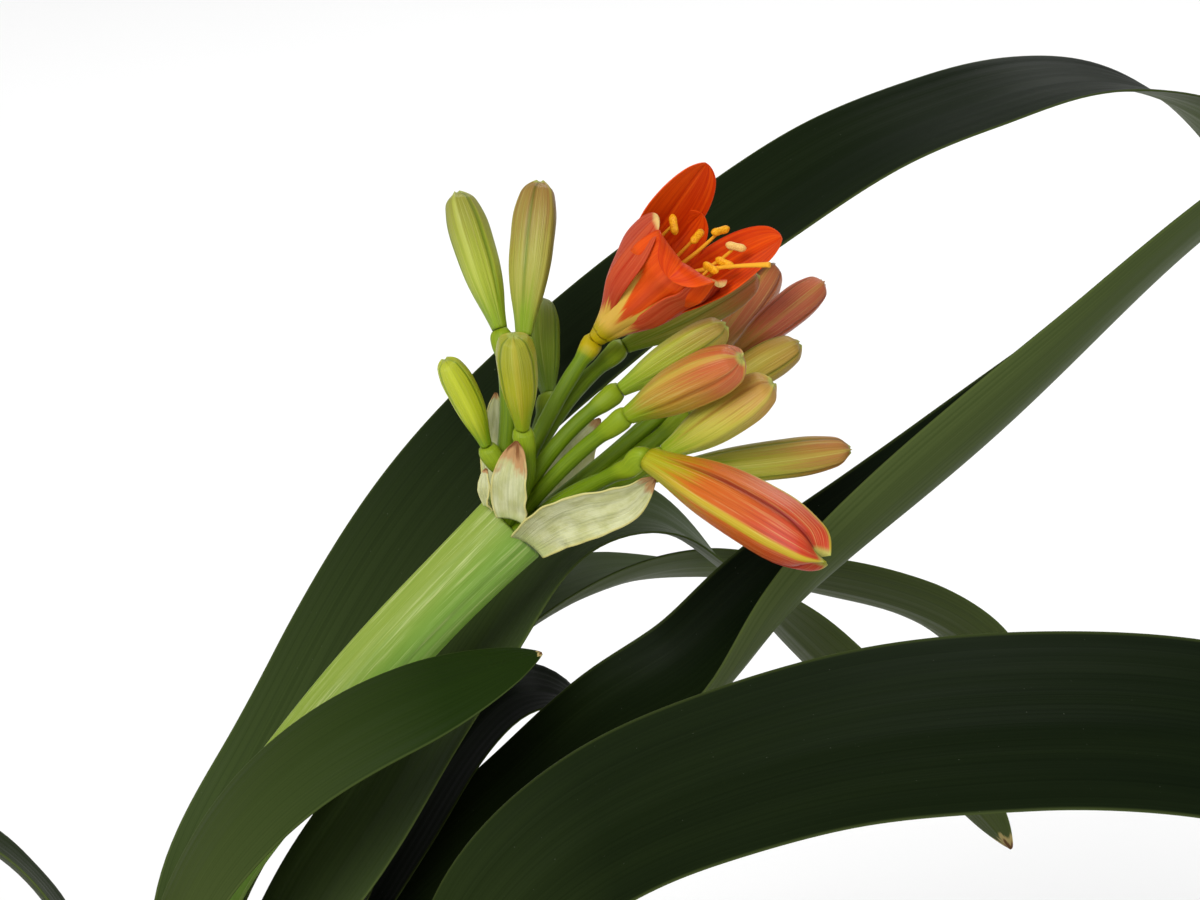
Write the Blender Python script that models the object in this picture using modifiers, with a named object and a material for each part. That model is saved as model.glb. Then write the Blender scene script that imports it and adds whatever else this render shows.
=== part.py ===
"""A potted clivia in flower: strap leaves in a fan, one flower stalk and its umbel.

World frame: metres, +Z up, origin at the centre of the pot's underside. The near
side of the plant is -Y and the flower stalk leans to +X. Lengths below are in
millimetres and are turned into metres where a mesh is made.
"""
import math

import bmesh
import bpy
import numpy as np

MM = 0.001
GAP = 0.3

# Pot and soil
POT_HEIGHT = 150.0
POT_TOP_R = 86.0
POT_BASE_R = 60.0
POT_WALL = 6.0
POT_FLOOR = 8.0
POT_BAND = 30.0
POT_BAND_STEP = 5.5
POT_EDGE = 2.0
POT_SEGMENTS = 32
DRAIN_R = 5.0
DRAIN_RING_R = 32.0
DRAIN_COUNT = 4
DRAIN_SIDES = 12
SOIL_SEGMENTS = 28
SOIL_TOP = 139.0
SOIL_CROWN = 141.0
SOIL_CROWN_OUT = 10.0
SOIL_ROUND = 6.0
SOIL_HOLE_R = 32.5
SOIL_HOLE_FLOOR = 131.0

# Leaf bases, which wrap the axis of the plant one outside another
LEAF_FOOT = SOIL_HOLE_FLOOR + GAP
SHEATH_FIRST_R = 11.0
SHEATH_PITCH = 3.1
SHEATH_LEAVES_AT = 196.0
SHEATH_STEP_DOWN = 4.0
SHEATH_MAX_HALF_ANGLE = 72.0
LEAF_MIDDLE = 1.5
LEAF_MARGIN = 0.7
LEAF_ACROSS = 6
LEAF_STEP = 25.0
LEAF_CROWD = 35.0
TIP_TAPER = 1.5
LEAF_WAISTS = {"leaf_left_1": (0.36, 112.0, 42.0)}

# Flower stalk, from the crown to the place where the umbel sits
SCAPE_WIDE = 17.6
SCAPE_THICK = 11.0
SCAPE_SIDES = 18
SCAPE_ROUTE = [
    (0, -1, LEAF_FOOT), (1, -2, 190), (2, -4, 228), (7, -4, 260), (25, 1, 288),
    (43, 7, 310), (72, 15, 340.5), (84.2, 18, 352),
]
SCAPE_SIZE = [0.76, 0.76, 0.78, 0.88, 0.98, 1.0, 1.0, 1.06]
SCAPE_RINGS = 17
SCAPE_SQUARED = 0.05

# Flower stems, ovaries and buds
UMBEL_SEAT = np.array([82.3, 17.5, 350.2])
SEAT_WIDE = np.array([0.717, -0.163, -0.678])
SEAT_DEEP = np.array([0.0, 0.972, -0.233])
SEAT_SPREAD = 0.14
SEAT_WIDE_MAX = 5.2
SEAT_DEEP_MAX = 2.6
STEM_R = 2.0
OVARY_R = 2.65
BUD_AROUND = 12
BUD_LEVELS = [0.0, 0.1, 0.26, 0.46, 0.64, 0.8, 0.9, 0.965, 1.0]
BUD_SIZES = [0.38, 0.5, 0.75, 0.95, 1.0, 0.96, 0.81, 0.54, 0.17]
BUD_RIB = 0.055
NEAR_SIDE = np.array([0.0, -0.94, 0.34])

# Petals of the open flower
PETAL_THICK = 0.8
PETAL_PLACES = (0.0, 0.12, 0.26, 0.42, 0.58, 0.72, 0.83, 0.91, 0.965, 1.0)
PETAL_ACROSS = 6

# Papery bracts at the foot of the umbel
BRACT_THICK = 0.6
BRACT_ROWS = 7
BRACT_ACROSS = 5
BRACT_FOOT = 0.7


def unit(vector):
    vector = np.asarray(vector, float)
    return vector / np.linalg.norm(vector)


def spline(knots, values, at):
    """Natural cubic spline through the values, read at the given places."""
    knots = np.asarray(knots, float)
    values = np.asarray(values, float)
    values = values.reshape(len(knots), -1)
    count = len(knots)
    step = np.diff(knots)
    matrix = np.eye(count)
    right = np.zeros_like(values)
    for i in range(1, count - 1):
        matrix[i, i - 1] = step[i - 1]
        matrix[i, i] = 2.0 * (step[i - 1] + step[i])
        matrix[i, i + 1] = step[i]
        rise = (values[i + 1] - values[i]) / step[i]
        fall = (values[i] - values[i - 1]) / step[i - 1]
        right[i] = 6.0 * (rise - fall)
    bend = np.linalg.solve(matrix, right)
    at = np.asarray(at, float)
    span = np.clip(np.searchsorted(knots, at, side="right") - 1, 0, count - 2)
    width = step[span][:, None]
    left = (knots[span + 1] - at)[:, None]
    gone = (at - knots[span])[:, None]
    low, high = values[span], values[span + 1]
    bend_low, bend_high = bend[span], bend[span + 1]
    curve = bend_low * left ** 3 + bend_high * gone ** 3
    line = (low - bend_low * width ** 2 / 6.0) * left + (high - bend_high * width ** 2 / 6.0) * gone
    return curve / (6.0 * width) + line / width


def chord_knots(points):
    points = np.asarray(points, float)[:, :3]
    return np.concatenate([[0.0], np.cumsum(np.linalg.norm(np.diff(points, axis=0), axis=1))])


def smooth_route(points, count, crowd=0.0):
    """Points at even steps along a smooth line, closer together where it bends."""
    points = np.asarray(points, float)
    knots = chord_knots(points)
    fine = np.linspace(0.0, knots[-1], 401)
    line = spline(knots, points, fine)
    length = chord_knots(line)
    tangent = np.gradient(line[:, :3], length, axis=0)
    tangent /= np.linalg.norm(tangent, axis=1)[:, None]
    bend = np.linalg.norm(np.gradient(tangent, length, axis=0), axis=1)
    weight = 1.0 + crowd * bend
    measure = np.concatenate([[0.0], np.cumsum(np.diff(length) * 0.5 * (weight[1:] + weight[:-1]))])
    even = np.interp(np.linspace(0.0, measure[-1], count), measure, length)
    stations = np.stack([np.interp(even, length, line[:, k]) for k in range(line.shape[1])], axis=1)
    facing = np.stack([np.interp(even, length, tangent[:, k]) for k in range(3)], axis=1)
    facing /= np.linalg.norm(facing, axis=1)[:, None]
    return stations, facing, even, length[-1]


def ease(value):
    value = np.clip(value, 0.0, 1.0)
    return value * value * (3.0 - 2.0 * value)


def colour(name, red, green, blue, rough):
    material = bpy.data.materials.new(name)
    material.use_nodes = True
    shader = material.node_tree.nodes["Principled BSDF"]
    shader.inputs["Base Color"].default_value = (red, green, blue, 1.0)
    shader.inputs["Roughness"].default_value = rough
    material.diffuse_color = (red, green, blue, 1.0)
    return material


def add_object(name, mesh, material):
    made = bpy.data.objects.new(name, mesh)
    PLANT.objects.link(made)
    mesh.materials.clear()
    mesh.materials.append(material)
    return made


def mesh_from(name, points, faces):
    mesh = bpy.data.meshes.new(name)
    mesh.from_pydata([tuple(float(c) * MM for c in p) for p in points], [], faces)
    work = bmesh.new()
    work.from_mesh(mesh)
    bmesh.ops.recalc_face_normals(work, faces=work.faces)
    work.to_mesh(mesh)
    work.free()
    return mesh


def blade_mesh(name, middle, normal, thick):
    """A closed thin body from a grid of middle points; both faces split alike."""
    rows, across = middle.shape[:2]
    half = 0.5 * thick[..., None] * normal
    points = np.concatenate([(middle + half).reshape(-1, 3), (middle - half).reshape(-1, 3)])
    under = rows * across
    faces = []
    for i in range(rows - 1):
        for j in range(across - 1):
            a = i * across + j
            b, c, d = a + 1, a + across + 1, a + across
            if j < (across - 1) // 2:
                pair = [(a, b, c), (a, c, d)]
            else:
                pair = [(a, b, d), (b, c, d)]
            faces += pair
            faces += [(under + r, under + q, under + p) for p, q, r in pair]
    rim = [j for j in range(across)]
    rim += [i * across + across - 1 for i in range(1, rows)]
    rim += [(rows - 1) * across + j for j in range(across - 2, -1, -1)]
    rim += [i * across for i in range(rows - 2, 0, -1)]
    for p, q in zip(rim, rim[1:] + rim[:1]):
        faces += [(p, under + p, q), (q, under + p, under + q)]
    return mesh_from(name, points, faces)


def ring_mesh(name, rings):
    """A closed body through rings of like count, with a fan over each end."""
    rings = np.asarray(rings, float)
    count, sides = rings.shape[:2]
    points = list(rings.reshape(-1, 3)) + [rings[0].mean(axis=0), rings[-1].mean(axis=0)]
    first, last = count * sides, count * sides + 1
    faces = []
    for i in range(count - 1):
        for j in range(sides):
            a, b = i * sides + j, i * sides + (j + 1) % sides
            faces += [(a, b, b + sides), (a, b + sides, a + sides)]
    for j in range(sides):
        k = (j + 1) % sides
        faces += [(k, j, first), ((count - 1) * sides + j, (count - 1) * sides + k, last)]
    return mesh_from(name, points, faces)


def fuse(name, bodies, material):
    """One body from several that overlap."""
    helpers = bpy.data.collections.new(name + "_parts")
    bpy.context.scene.collection.children.link(helpers)
    base = bodies[0]
    for body in bodies[1:]:
        PLANT.objects.unlink(body)
        helpers.objects.link(body)
    union = base.modifiers.new("union", "BOOLEAN")
    union.operation = "UNION"
    union.operand_type = "COLLECTION"
    union.collection = helpers
    union.solver = "MANIFOLD"
    bpy.context.view_layer.objects.active = base
    bpy.context.view_layer.update()
    with bpy.context.temp_override(object=base, active_object=base):
        bpy.ops.object.modifier_apply(modifier=union.name)
    for body in bodies[1:]:
        bpy.data.objects.remove(body, do_unlink=True)
    bpy.data.collections.remove(helpers)
    base.name = name
    base.data.materials.clear()
    base.data.materials.append(material)
    return base


def tube(name, points, radii, material, resolution=2):
    """A round tube along a line of points, with its own radius at each."""
    data = bpy.data.curves.new(name, "CURVE")
    data.dimensions = "3D"
    data.bevel_depth = MM
    data.bevel_resolution = resolution
    data.use_fill_caps = True
    line = data.splines.new("POLY")
    line.points.add(len(points) - 1)
    for point, place, radius in zip(line.points, points, radii):
        point.co = (place[0] * MM, place[1] * MM, place[2] * MM, 1.0)
        point.radius = radius
    made = bpy.data.objects.new(name + "_line", data)
    PLANT.objects.link(made)
    bpy.context.view_layer.update()
    mesh = bpy.data.meshes.new_from_object(made.evaluated_get(bpy.context.evaluated_depsgraph_get()))
    bpy.data.objects.remove(made, do_unlink=True)
    bpy.data.curves.remove(data)
    work = bmesh.new()
    work.from_mesh(mesh)
    bmesh.ops.remove_doubles(work, verts=work.verts, dist=1e-7)
    bmesh.ops.recalc_face_normals(work, faces=work.faces)
    work.to_mesh(mesh)
    work.free()
    return add_object(name, mesh, material)


def turned(name, profile, segments, material):
    """A body of revolution about the vertical axis from a profile in millimetres."""
    mesh = bpy.data.meshes.new(name)
    points = [(r * MM, 0.0, z * MM) for r, z in profile]
    mesh.from_pydata(points, [(i, i + 1) for i in range(len(points) - 1)], [])
    made = add_object(name, mesh, material)
    screw = made.modifiers.new("turn", "SCREW")
    screw.axis = "Z"
    screw.angle = math.tau
    screw.steps = segments
    screw.render_steps = segments
    screw.use_merge_vertices = True
    screw.merge_threshold = 0.0001
    screw.use_normal_calculate = True
    with bpy.context.temp_override(object=made, active_object=made):
        bpy.ops.object.modifier_apply(modifier=screw.name)
    work = bmesh.new()
    work.from_mesh(made.data)
    bmesh.ops.remove_doubles(work, verts=work.verts, dist=1e-6)
    bmesh.ops.recalc_face_normals(work, faces=work.faces)
    work.to_mesh(made.data)
    work.free()
    return made


def cut(target, cutters):
    """Take the cutters away from the target, then remove them."""
    helpers = bpy.data.collections.new(target.name + "_cutters")
    bpy.context.scene.collection.children.link(helpers)
    for cutter in cutters:
        for owner in list(cutter.users_collection):
            owner.objects.unlink(cutter)
        helpers.objects.link(cutter)
    step = target.modifiers.new("cut", "BOOLEAN")
    step.operation = "DIFFERENCE"
    step.operand_type = "COLLECTION"
    step.collection = helpers
    step.solver = "EXACT"
    with bpy.context.temp_override(object=target, active_object=target):
        bpy.ops.object.modifier_apply(modifier=step.name)
    for cutter in cutters:
        bpy.data.objects.remove(cutter, do_unlink=True)
    bpy.data.collections.remove(helpers)


def cylinder(name, radius, low, high, x, y, segments):
    mesh = bpy.data.meshes.new(name)
    work = bmesh.new()
    bmesh.ops.create_cone(work, cap_ends=True, segments=segments, radius1=radius * MM,
                          radius2=radius * MM, depth=(high - low) * MM)
    bmesh.ops.translate(work, verts=work.verts, vec=(x * MM, y * MM, 0.5 * (low + high) * MM))
    work.to_mesh(mesh)
    work.free()
    return add_object(name, mesh, CLAY)


def strip_grid(stations, facing, levels, half, angle, margin, middle_thick, across):
    """Middle points, normals and thickness of a bent strip, row by row.

    Each station is x, y, z and roll; each level is the way its width lies when
    the roll is nothing; angle is the half angle the width is bent through.
    """
    rows = len(stations)
    middle = np.zeros((rows, across, 3))
    normal = np.zeros((rows, across, 3))
    thick = np.zeros((rows, across))
    for i in range(rows):
        tangent = facing[i]
        flat = unit(levels[i] - levels[i].dot(tangent) * tangent)
        up = np.cross(tangent, flat)
        roll = math.radians(stations[i, 3])
        lateral = math.cos(roll) * flat + math.sin(roll) * up
        inner = np.cross(tangent, lateral)
        bend_r = half[i] / angle[i]
        for j in range(across):
            v = 2.0 * j / (across - 1) - 1.0
            bow = angle[i] * v
            middle[i, j] = (stations[i, :3] + inner * bend_r * (1.0 - math.cos(bow))
                            + lateral * bend_r * math.sin(bow))
            normal[i, j] = inner * math.cos(bow) - lateral * math.sin(bow)
            thick[i, j] = margin + (middle_thick - margin) * (1.0 - v * v)
    return middle, normal, thick


def leaf(name, rank, foot_side, blade_side, width, route):
    """One strap leaf: its foot wraps the axis, its blade follows the route.

    rank counts outward from the middle of the fan; foot_side and blade_side are
    the compass sides of the foot and the blade; each route row is x, y, z, the
    roll of the blade about its own line and the half angle of its trough.
    """
    sheath_r = SHEATH_FIRST_R + SHEATH_PITCH * rank
    leaves_at = SHEATH_LEAVES_AT - SHEATH_STEP_DOWN * rank
    turn = math.radians(foot_side)
    foot_x, foot_y = sheath_r * math.cos(turn), sheath_r * math.sin(turn)
    heights = (LEAF_FOOT, 0.5 * (LEAF_FOOT + leaves_at), leaves_at)
    line = [(foot_x, foot_y, z, 0.0, route[0][4]) for z in heights]
    line += route
    fine, fine_facing, fine_gone, total = smooth_route(line, 301)
    length = int(round(total / LEAF_STEP)) + 3
    even = smooth_route(line, length, crowd=LEAF_CROWD)[2]
    taper = TIP_TAPER * width
    tip_places = total - taper * np.array([0.72, 0.5, 0.3, 0.15, 0.05, 0.0])
    places = np.concatenate([even[even < total - taper * 0.9], tip_places])
    stations = np.stack([np.interp(places, fine_gone, fine[:, k]) for k in range(5)], axis=1)
    facing = np.stack([np.interp(places, fine_gone, fine_facing[:, k]) for k in range(3)], axis=1)
    facing /= np.linalg.norm(facing, axis=1)[:, None]

    first_half = min(0.54 * width, math.radians(SHEATH_MAX_HALF_ANGLE) * sheath_r)
    sheath_length = leaves_at - LEAF_FOOT
    spread = ease((places - sheath_length) / (0.2 * total))
    half = first_half + (0.5 * width - first_half) * ease((places - sheath_length) / (0.35 * total))
    if name in LEAF_WAISTS:
        lost, waist_at, waist_length = LEAF_WAISTS[name]
        half = half * (1.0 - lost * np.exp(-((places - waist_at) / waist_length) ** 2))
    to_tip = np.clip((places - (total - taper)) / taper, 0.0, 1.0)
    half = half * np.clip(1.0 - to_tip ** 2.2, 0.0, 1.0) ** 0.72 + 1.0
    trough = np.radians(stations[:, 4]) * (1.0 - 0.6 * to_tip)
    angle = (first_half / sheath_r) ** (1.0 - spread) * trough ** spread
    side = np.radians(foot_side + (blade_side - foot_side) * spread)
    levels = np.stack([-np.sin(side), np.cos(side), 0.0 * side], axis=1)
    grid = strip_grid(stations, facing, levels, half, angle, LEAF_MARGIN, LEAF_MIDDLE, LEAF_ACROSS)
    return add_object(name, blade_mesh(name, *grid), LEAF_GREEN)


def bract(name, outward, width, trough, route):
    """One papery bract at the foot of the umbel, its face turned outward."""
    line = [(*row, 0.0) for row in route]
    stations, facing, gone, total = smooth_route(line, BRACT_ROWS, crowd=4.0)
    share = gone / total
    half = 0.5 * width * (BRACT_FOOT + (1.0 - BRACT_FOOT) * np.sin(math.pi * share) ** 0.7)
    half = half * np.clip(1.0 - share ** 4.0, 0.0, 1.0) ** 0.8 + 0.5
    angle = np.full(len(share), math.radians(trough))
    levels = np.cross(np.asarray(outward, float), facing)
    grid = strip_grid(stations, facing, levels, half, angle, BRACT_THICK, BRACT_THICK, BRACT_ACROSS)
    return add_object(name, blade_mesh(name, *grid), PAPER_CREAM)


def scape():
    """The flattened flower stalk as rings that change size along its line."""
    rows = [(*point, size) for point, size in zip(SCAPE_ROUTE, SCAPE_SIZE)]
    stations, facing, _, _ = smooth_route(rows, SCAPE_RINGS, crowd=20.0)
    rings = []
    for station, tangent in zip(stations, facing):
        wide = unit(np.array([1.0, 0.0, 0.0]) - tangent[0] * tangent)
        deep = np.cross(tangent, wide)
        ring = []
        for j in range(SCAPE_SIDES):
            turn = math.tau * j / SCAPE_SIDES
            edge = 1.0 + SCAPE_SQUARED * math.cos(4.0 * turn)
            ring.append(station[:3]
                        + wide * 0.5 * SCAPE_WIDE * station[3] * edge * math.cos(turn)
                        + deep * 0.5 * SCAPE_THICK * station[3] * edge * math.sin(turn))
        rings.append(ring)
    return add_object("scape", ring_mesh("scape", rings), STALK_GREEN)


def stem(name, ovary_start, ovary_end, bud_along):
    """A flower stem that bows out from the umbel seat and ends in its ovary."""
    first, last = np.asarray(ovary_start, float), np.asarray(ovary_end, float)
    aside = SEAT_SPREAD * SEAT_WIDE.dot(first - UMBEL_SEAT)
    back = SEAT_SPREAD * SEAT_DEEP.dot(first - UMBEL_SEAT)
    start = (UMBEL_SEAT + SEAT_WIDE * min(max(aside, -SEAT_WIDE_MAX), SEAT_WIDE_MAX)
             + SEAT_DEEP * min(max(back, -SEAT_DEEP_MAX), SEAT_DEEP_MAX))
    along = unit(last - first)
    reach = np.linalg.norm(first - start)
    bow = first - along * 0.42 * reach
    points, radii = [], []
    for k in range(5):
        u = k / 5.0
        points.append((1 - u) ** 2 * start + 2 * u * (1 - u) * bow + u * u * first)
        radii.append(STEM_R)
    size = np.linalg.norm(last - first)
    for u, r in ((-0.12, 0.78), (0.12, 0.9), (0.45, 1.0)):
        points.append(first + along * size * u)
        radii.append(OVARY_R * r)
    for back, r in ((0.9, 0.95), (0.0, 0.78)):
        points.append(last - np.asarray(bud_along) * back)
        radii.append(OVARY_R * r)
    return tube(name, points, radii, STALK_GREEN)


def bud(name, base, tip, half_width, open_tip, keel_at, material):
    """A closed flower bud: a cylinder drawn out to a ribbed, blunt-ended spindle.

    keel_at is how far round from the near side one of its three keels lies.
    """
    base, tip = np.asarray(base, float), np.asarray(tip, float)
    along = unit(tip - base)
    across = unit(np.cross(along, (0.3, 1.0, 0.2)))
    other = np.cross(along, across)
    spin = math.atan2(other.dot(NEAR_SIDE), across.dot(NEAR_SIDE)) + math.radians(keel_at)
    length = np.linalg.norm(tip - base)
    mesh = bpy.data.meshes.new(name)
    work = bmesh.new()
    bmesh.ops.create_cone(work, cap_ends=True, segments=BUD_AROUND, radius1=1.0, radius2=1.0, depth=1.0)
    sides = [e for e in work.edges if abs(e.verts[0].co.z - e.verts[1].co.z) > 0.5]
    bmesh.ops.subdivide_edges(work, edges=sides, cuts=len(BUD_LEVELS) - 2, use_grid_fill=True)
    for vert in work.verts:
        level = int(round((vert.co.z + 0.5) * (len(BUD_LEVELS) - 1)))
        turn = math.atan2(vert.co.y, vert.co.x)
        rib = 1.0 + BUD_RIB * math.cos(3.0 * turn) + 0.4 * BUD_RIB * math.cos(6.0 * turn)
        radius = half_width * BUD_SIZES[level] * rib
        reach = BUD_LEVELS[level] * length
        if level == len(BUD_LEVELS) - 1:
            reach += open_tip * math.cos(3.0 * turn)
        place = base + along * reach
        place += across * radius * math.cos(turn + spin) + other * radius * math.sin(turn + spin)
        vert.co = tuple(place * MM)
    work.normal_update()
    bmesh.ops.recalc_face_normals(work, faces=work.faces)
    bmesh.ops.triangulate(work, faces=work.faces)
    work.to_mesh(mesh)
    work.free()
    return add_object(name, mesh, material)


def petal(name, turn, reach, spread, width, curl, cup, lift):
    """One petal of the open flower, from the tube out to its tip.

    cup is how deeply it is troughed, and lift sets an outer petal off the inner ones.
    """
    out = math.cos(turn) * FLOWER_UP + math.sin(turn) * FLOWER_NEAR
    level = np.cross(FLOWER_AXIS, out)
    line = [(2.5, 2.8), (8.0, 5.0), (17.0, 8.2 + lift), (28.0, 10.6 + lift),
            (0.8 * reach, 5.4 + 0.5 * (spread + lift)), (reach, spread)]
    if curl > 0.0:
        line.append((reach - 0.1 * curl, spread + 0.7 * curl))
        line.append((reach - 0.8 * curl, spread + curl))
    points = [(*(FLOWER_BASE + FLOWER_AXIS * a + out * r), 0.0) for a, r in line]
    fine, fine_facing, gone, total = smooth_route(points, 201)
    share = np.array(PETAL_PLACES)
    stations = np.stack([np.interp(share * total, gone, fine[:, k]) for k in range(4)], axis=1)
    facing = np.stack([np.interp(share * total, gone, fine_facing[:, k]) for k in range(3)], axis=1)
    facing /= np.linalg.norm(facing, axis=1)[:, None]
    grow = 0.34 + 0.66 * ease(share / 0.68)
    tip = np.clip(1.0 - np.clip((share - 0.66) / 0.34, 0.0, 1.0) ** 2.2, 0.0, 1.0) ** 0.58
    half = 0.5 * width * grow * tip + 0.5
    angle = 0.95 * (1.0 - ease(share / 0.75)) + cup * (1.0 - 0.5 * share)
    levels = np.tile(level, (len(share), 1))
    grid = strip_grid(stations, facing, levels, half, angle, PETAL_THICK, PETAL_THICK, PETAL_ACROSS)
    return add_object(name, blade_mesh(name, *grid), PETAL_ORANGE)


for old in list(bpy.data.objects):
    bpy.data.objects.remove(old, do_unlink=True)

PLANT = bpy.data.collections.new("clivia")
bpy.context.scene.collection.children.link(PLANT)

CLAY = colour("clay", 0.42, 0.16, 0.08, 0.8)
EARTH = colour("potting_soil", 0.035, 0.024, 0.017, 0.95)
LEAF_GREEN = colour("leaf_green", 0.02, 0.055, 0.018, 0.35)
STALK_GREEN = colour("stalk_green", 0.25, 0.38, 0.08, 0.45)
BUD_LIME = colour("bud_lime", 0.36, 0.42, 0.08, 0.45)
BUD_CORAL = colour("bud_coral", 0.58, 0.2, 0.12, 0.45)
PETAL_ORANGE = colour("petal_orange", 0.72, 0.13, 0.02, 0.45)
STAMEN_YELLOW = colour("stamen_yellow", 0.8, 0.5, 0.05, 0.5)
PAPER_CREAM = colour("paper_bract", 0.62, 0.62, 0.42, 0.7)

band_foot = POT_HEIGHT - POT_BAND
band_r = POT_TOP_R - 1.5 * POT_EDGE
rim_inner_r = POT_TOP_R - POT_WALL - POT_EDGE
inner_top_r = band_r - POT_BAND_STEP - POT_WALL
inner_base_r = POT_BASE_R - POT_WALL
pot_profile = [
    (0.0, 0.0), (POT_BASE_R - POT_EDGE, 0.0), (POT_BASE_R, POT_EDGE),
    (band_r - POT_BAND_STEP, band_foot), (band_r, band_foot),
    (band_r + 0.75 * POT_EDGE, band_foot + 0.75 * POT_EDGE), (POT_TOP_R, POT_HEIGHT - POT_EDGE),
    (POT_TOP_R - POT_EDGE, POT_HEIGHT), (rim_inner_r, POT_HEIGHT),
    (rim_inner_r - POT_EDGE, POT_HEIGHT - POT_EDGE), (inner_top_r, band_foot),
    (inner_base_r, POT_FLOOR + POT_EDGE), (inner_base_r - POT_EDGE, POT_FLOOR),
    (0.0, POT_FLOOR),
]
pot = turned("pot", pot_profile, POT_SEGMENTS, CLAY)
drains = []
for k in range(DRAIN_COUNT):
    turn = math.tau * (k + 0.5) / DRAIN_COUNT
    drains.append(cylinder("drain", DRAIN_R, -POT_FLOOR, 2.0 * POT_FLOOR,
                           DRAIN_RING_R * math.cos(turn), DRAIN_RING_R * math.sin(turn), DRAIN_SIDES))
cut(pot, drains)

clear = 1.5 * GAP
climb = (SOIL_TOP - POT_EDGE - band_foot) / (POT_BAND - POT_EDGE)
soil_edge_r = inner_top_r + climb * (rim_inner_r - POT_EDGE - inner_top_r) - clear
soil_profile = [
    (0.0, POT_FLOOR + GAP), (inner_base_r - POT_EDGE - clear, POT_FLOOR + GAP),
    (inner_base_r - clear, POT_FLOOR + POT_EDGE + GAP),
    (inner_top_r - clear, band_foot),
    (soil_edge_r, SOIL_TOP - POT_EDGE), (soil_edge_r - SOIL_ROUND, SOIL_TOP),
    (SOIL_HOLE_R + SOIL_CROWN_OUT, SOIL_CROWN), (SOIL_HOLE_R, SOIL_CROWN - 0.25 * POT_EDGE),
    (SOIL_HOLE_R, SOIL_HOLE_FLOOR), (0.0, SOIL_HOLE_FLOOR),
]
turned("soil", soil_profile, SOIL_SEGMENTS, EARTH)

LEAVES = [
    ("leaf_right_1", 0, 64, 42, 35, [
        (5, 22, 247, 0, 17), (20, 31, 278, 3, 17), (44, 46, 319, 3, 17), (71, 59, 354, 3, 17),
        (101, 73, 380, 5, 17), (144, 95, 408, 6, 17), (176, 108, 425, 5, 17), (203, 119, 433, 5, 17),
        (226, 128, 437, 4, 17), (251, 140, 434, 4, 17), (277, 153, 420, 0, 17),
        (303, 167, 391, -2, 17), (324, 178, 357, -2, 17)]),
    ("leaf_right_2", 1, 8, 25, 37, [
        (35, 7, 255, 5, 18), (51, 17, 277, 4, 18), (65, 28, 299, 4, 18), (79, 38, 318, 2, 18),
        (96, 53, 335, 0, 18), (117, 66, 336, 4, 18), (130, 75, 326, 6, 18), (155, 85, 299, -12, 18),
        (190, 85, 263, -16, 18), (213, 81, 241, -16, 18), (220, 78, 233, -14, 18)]),
    ("leaf_right_3", 2, 30, 30, 34, [
        (38, 27, 244, -4, 20), (53, 40, 277, -4, 20), (73, 59, 300, -6, 30), (103, 82, 309, -14, 44),
        (128, 111, 302, -22, 40), (145, 120, 298, -26, 26), (177, 125, 291, -30, 20),
        (209, 127, 277, -20, 20), (232, 120, 253, -10, 20)]),
    ("leaf_right_4", 3, 24, 24, 27, [
        (43, 25, 241, 4, 20), (58, 40, 262, 4, 20), (73, 57, 279, 2, 20), (86, 67, 285, 4, 20),
        (99, 71, 280, 0, 20), (111, 72, 266, -9, 20), (124, 68, 249, -12, 20)]),
    ("leaf_right_5", 4, 22, 12, 46, [
        (57, 19, 241, 8, 24), (88, 20, 272, 8, 26), (113, 20, 294, 8, 40), (132, 23, 305, 5, 64),
        (148, 31, 319, -3, 78), (175, 42, 340, -17, 80), (210, 60, 364, -24, 70),
        (237, 76, 385, -26, 46), (264, 90, 406, -27, 34), (305, 104, 428, -27, 30),
        (348, 112, 436, -26, 30), (392, 116, 426, -24, 30)]),
    ("leaf_right_6", 5, -32, -8, 43, [
        (58, -30, 224, 20, 16), (79, -30, 263, 34, 16), (96, -26, 281, 40, 16), (132, -34, 306, 41, 16),
        (166, -43, 321, 44, 16), (200, -51, 329, 43, 16), (244, -59, 331, 40, 16),
        (286, -65, 318, 38, 16), (315, -69, 292, 38, 16)]),
    ("leaf_right_7", 6, 8, 8, 42, [
        (72, 10, 196, 0, 18), (110, 15, 206, 0, 18), (150, 20, 194, 0, 18), (184, 26, 160, 0, 18),
        (204, 30, 118, 0, 18)]),
    ("leaf_left_1", 0, 225, 225, 24, [
        (-2, -19, 252, -2, 16), (10.5, -19, 279, -2, 16), (30, -19, 302, 4, 16), (53, -18, 317, 10, 16),
        (92, -15, 332, -6, 16)]),
    ("leaf_left_2", 1, 186, 186, 26, [
        (-24, 3, 228, 6, 14), (-34, 9, 250, 12, 14), (-48, 18, 261, 22, 14), (-72, 34, 262, 22, 14),
        (-104, 56, 244, 10, 14), (-126, 72, 212, 0, 14)]),
    ("leaf_left_3", 2, 206, 206, 42, [
        (-42, -16, 222, 0, 20), (-84, -34, 258, 0, 20), (-140, -56, 276, 0, 20),
        (-198, -78, 262, 0, 20), (-242, -96, 220, 0, 20), (-262, -104, 176, 0, 20)]),
    ("leaf_left_4", 3, 174, 174, 40, [
        (-44, 6, 214, 0, 20), (-88, 12, 236, 0, 20), (-140, 18, 244, 0, 20),
        (-192, 24, 226, 0, 20), (-230, 28, 186, 0, 20)]),
    ("leaf_left_5", 4, 214, 214, 44, [
        (-52, -32, 200, 0, 20), (-96, -62, 216, 0, 20), (-142, -92, 206, 0, 20),
        (-178, -118, 170, 0, 20), (-196, -130, 128, 0, 20)]),
    ("leaf_left_6", 5, 184, 184, 42, [
        (-66, -4, 186, 0, 20), (-112, -8, 190, 0, 20), (-152, -12, 164, 0, 20),
        (-178, -16, 122, 0, 20)]),
]
for row in LEAVES:
    leaf(*row)

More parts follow.
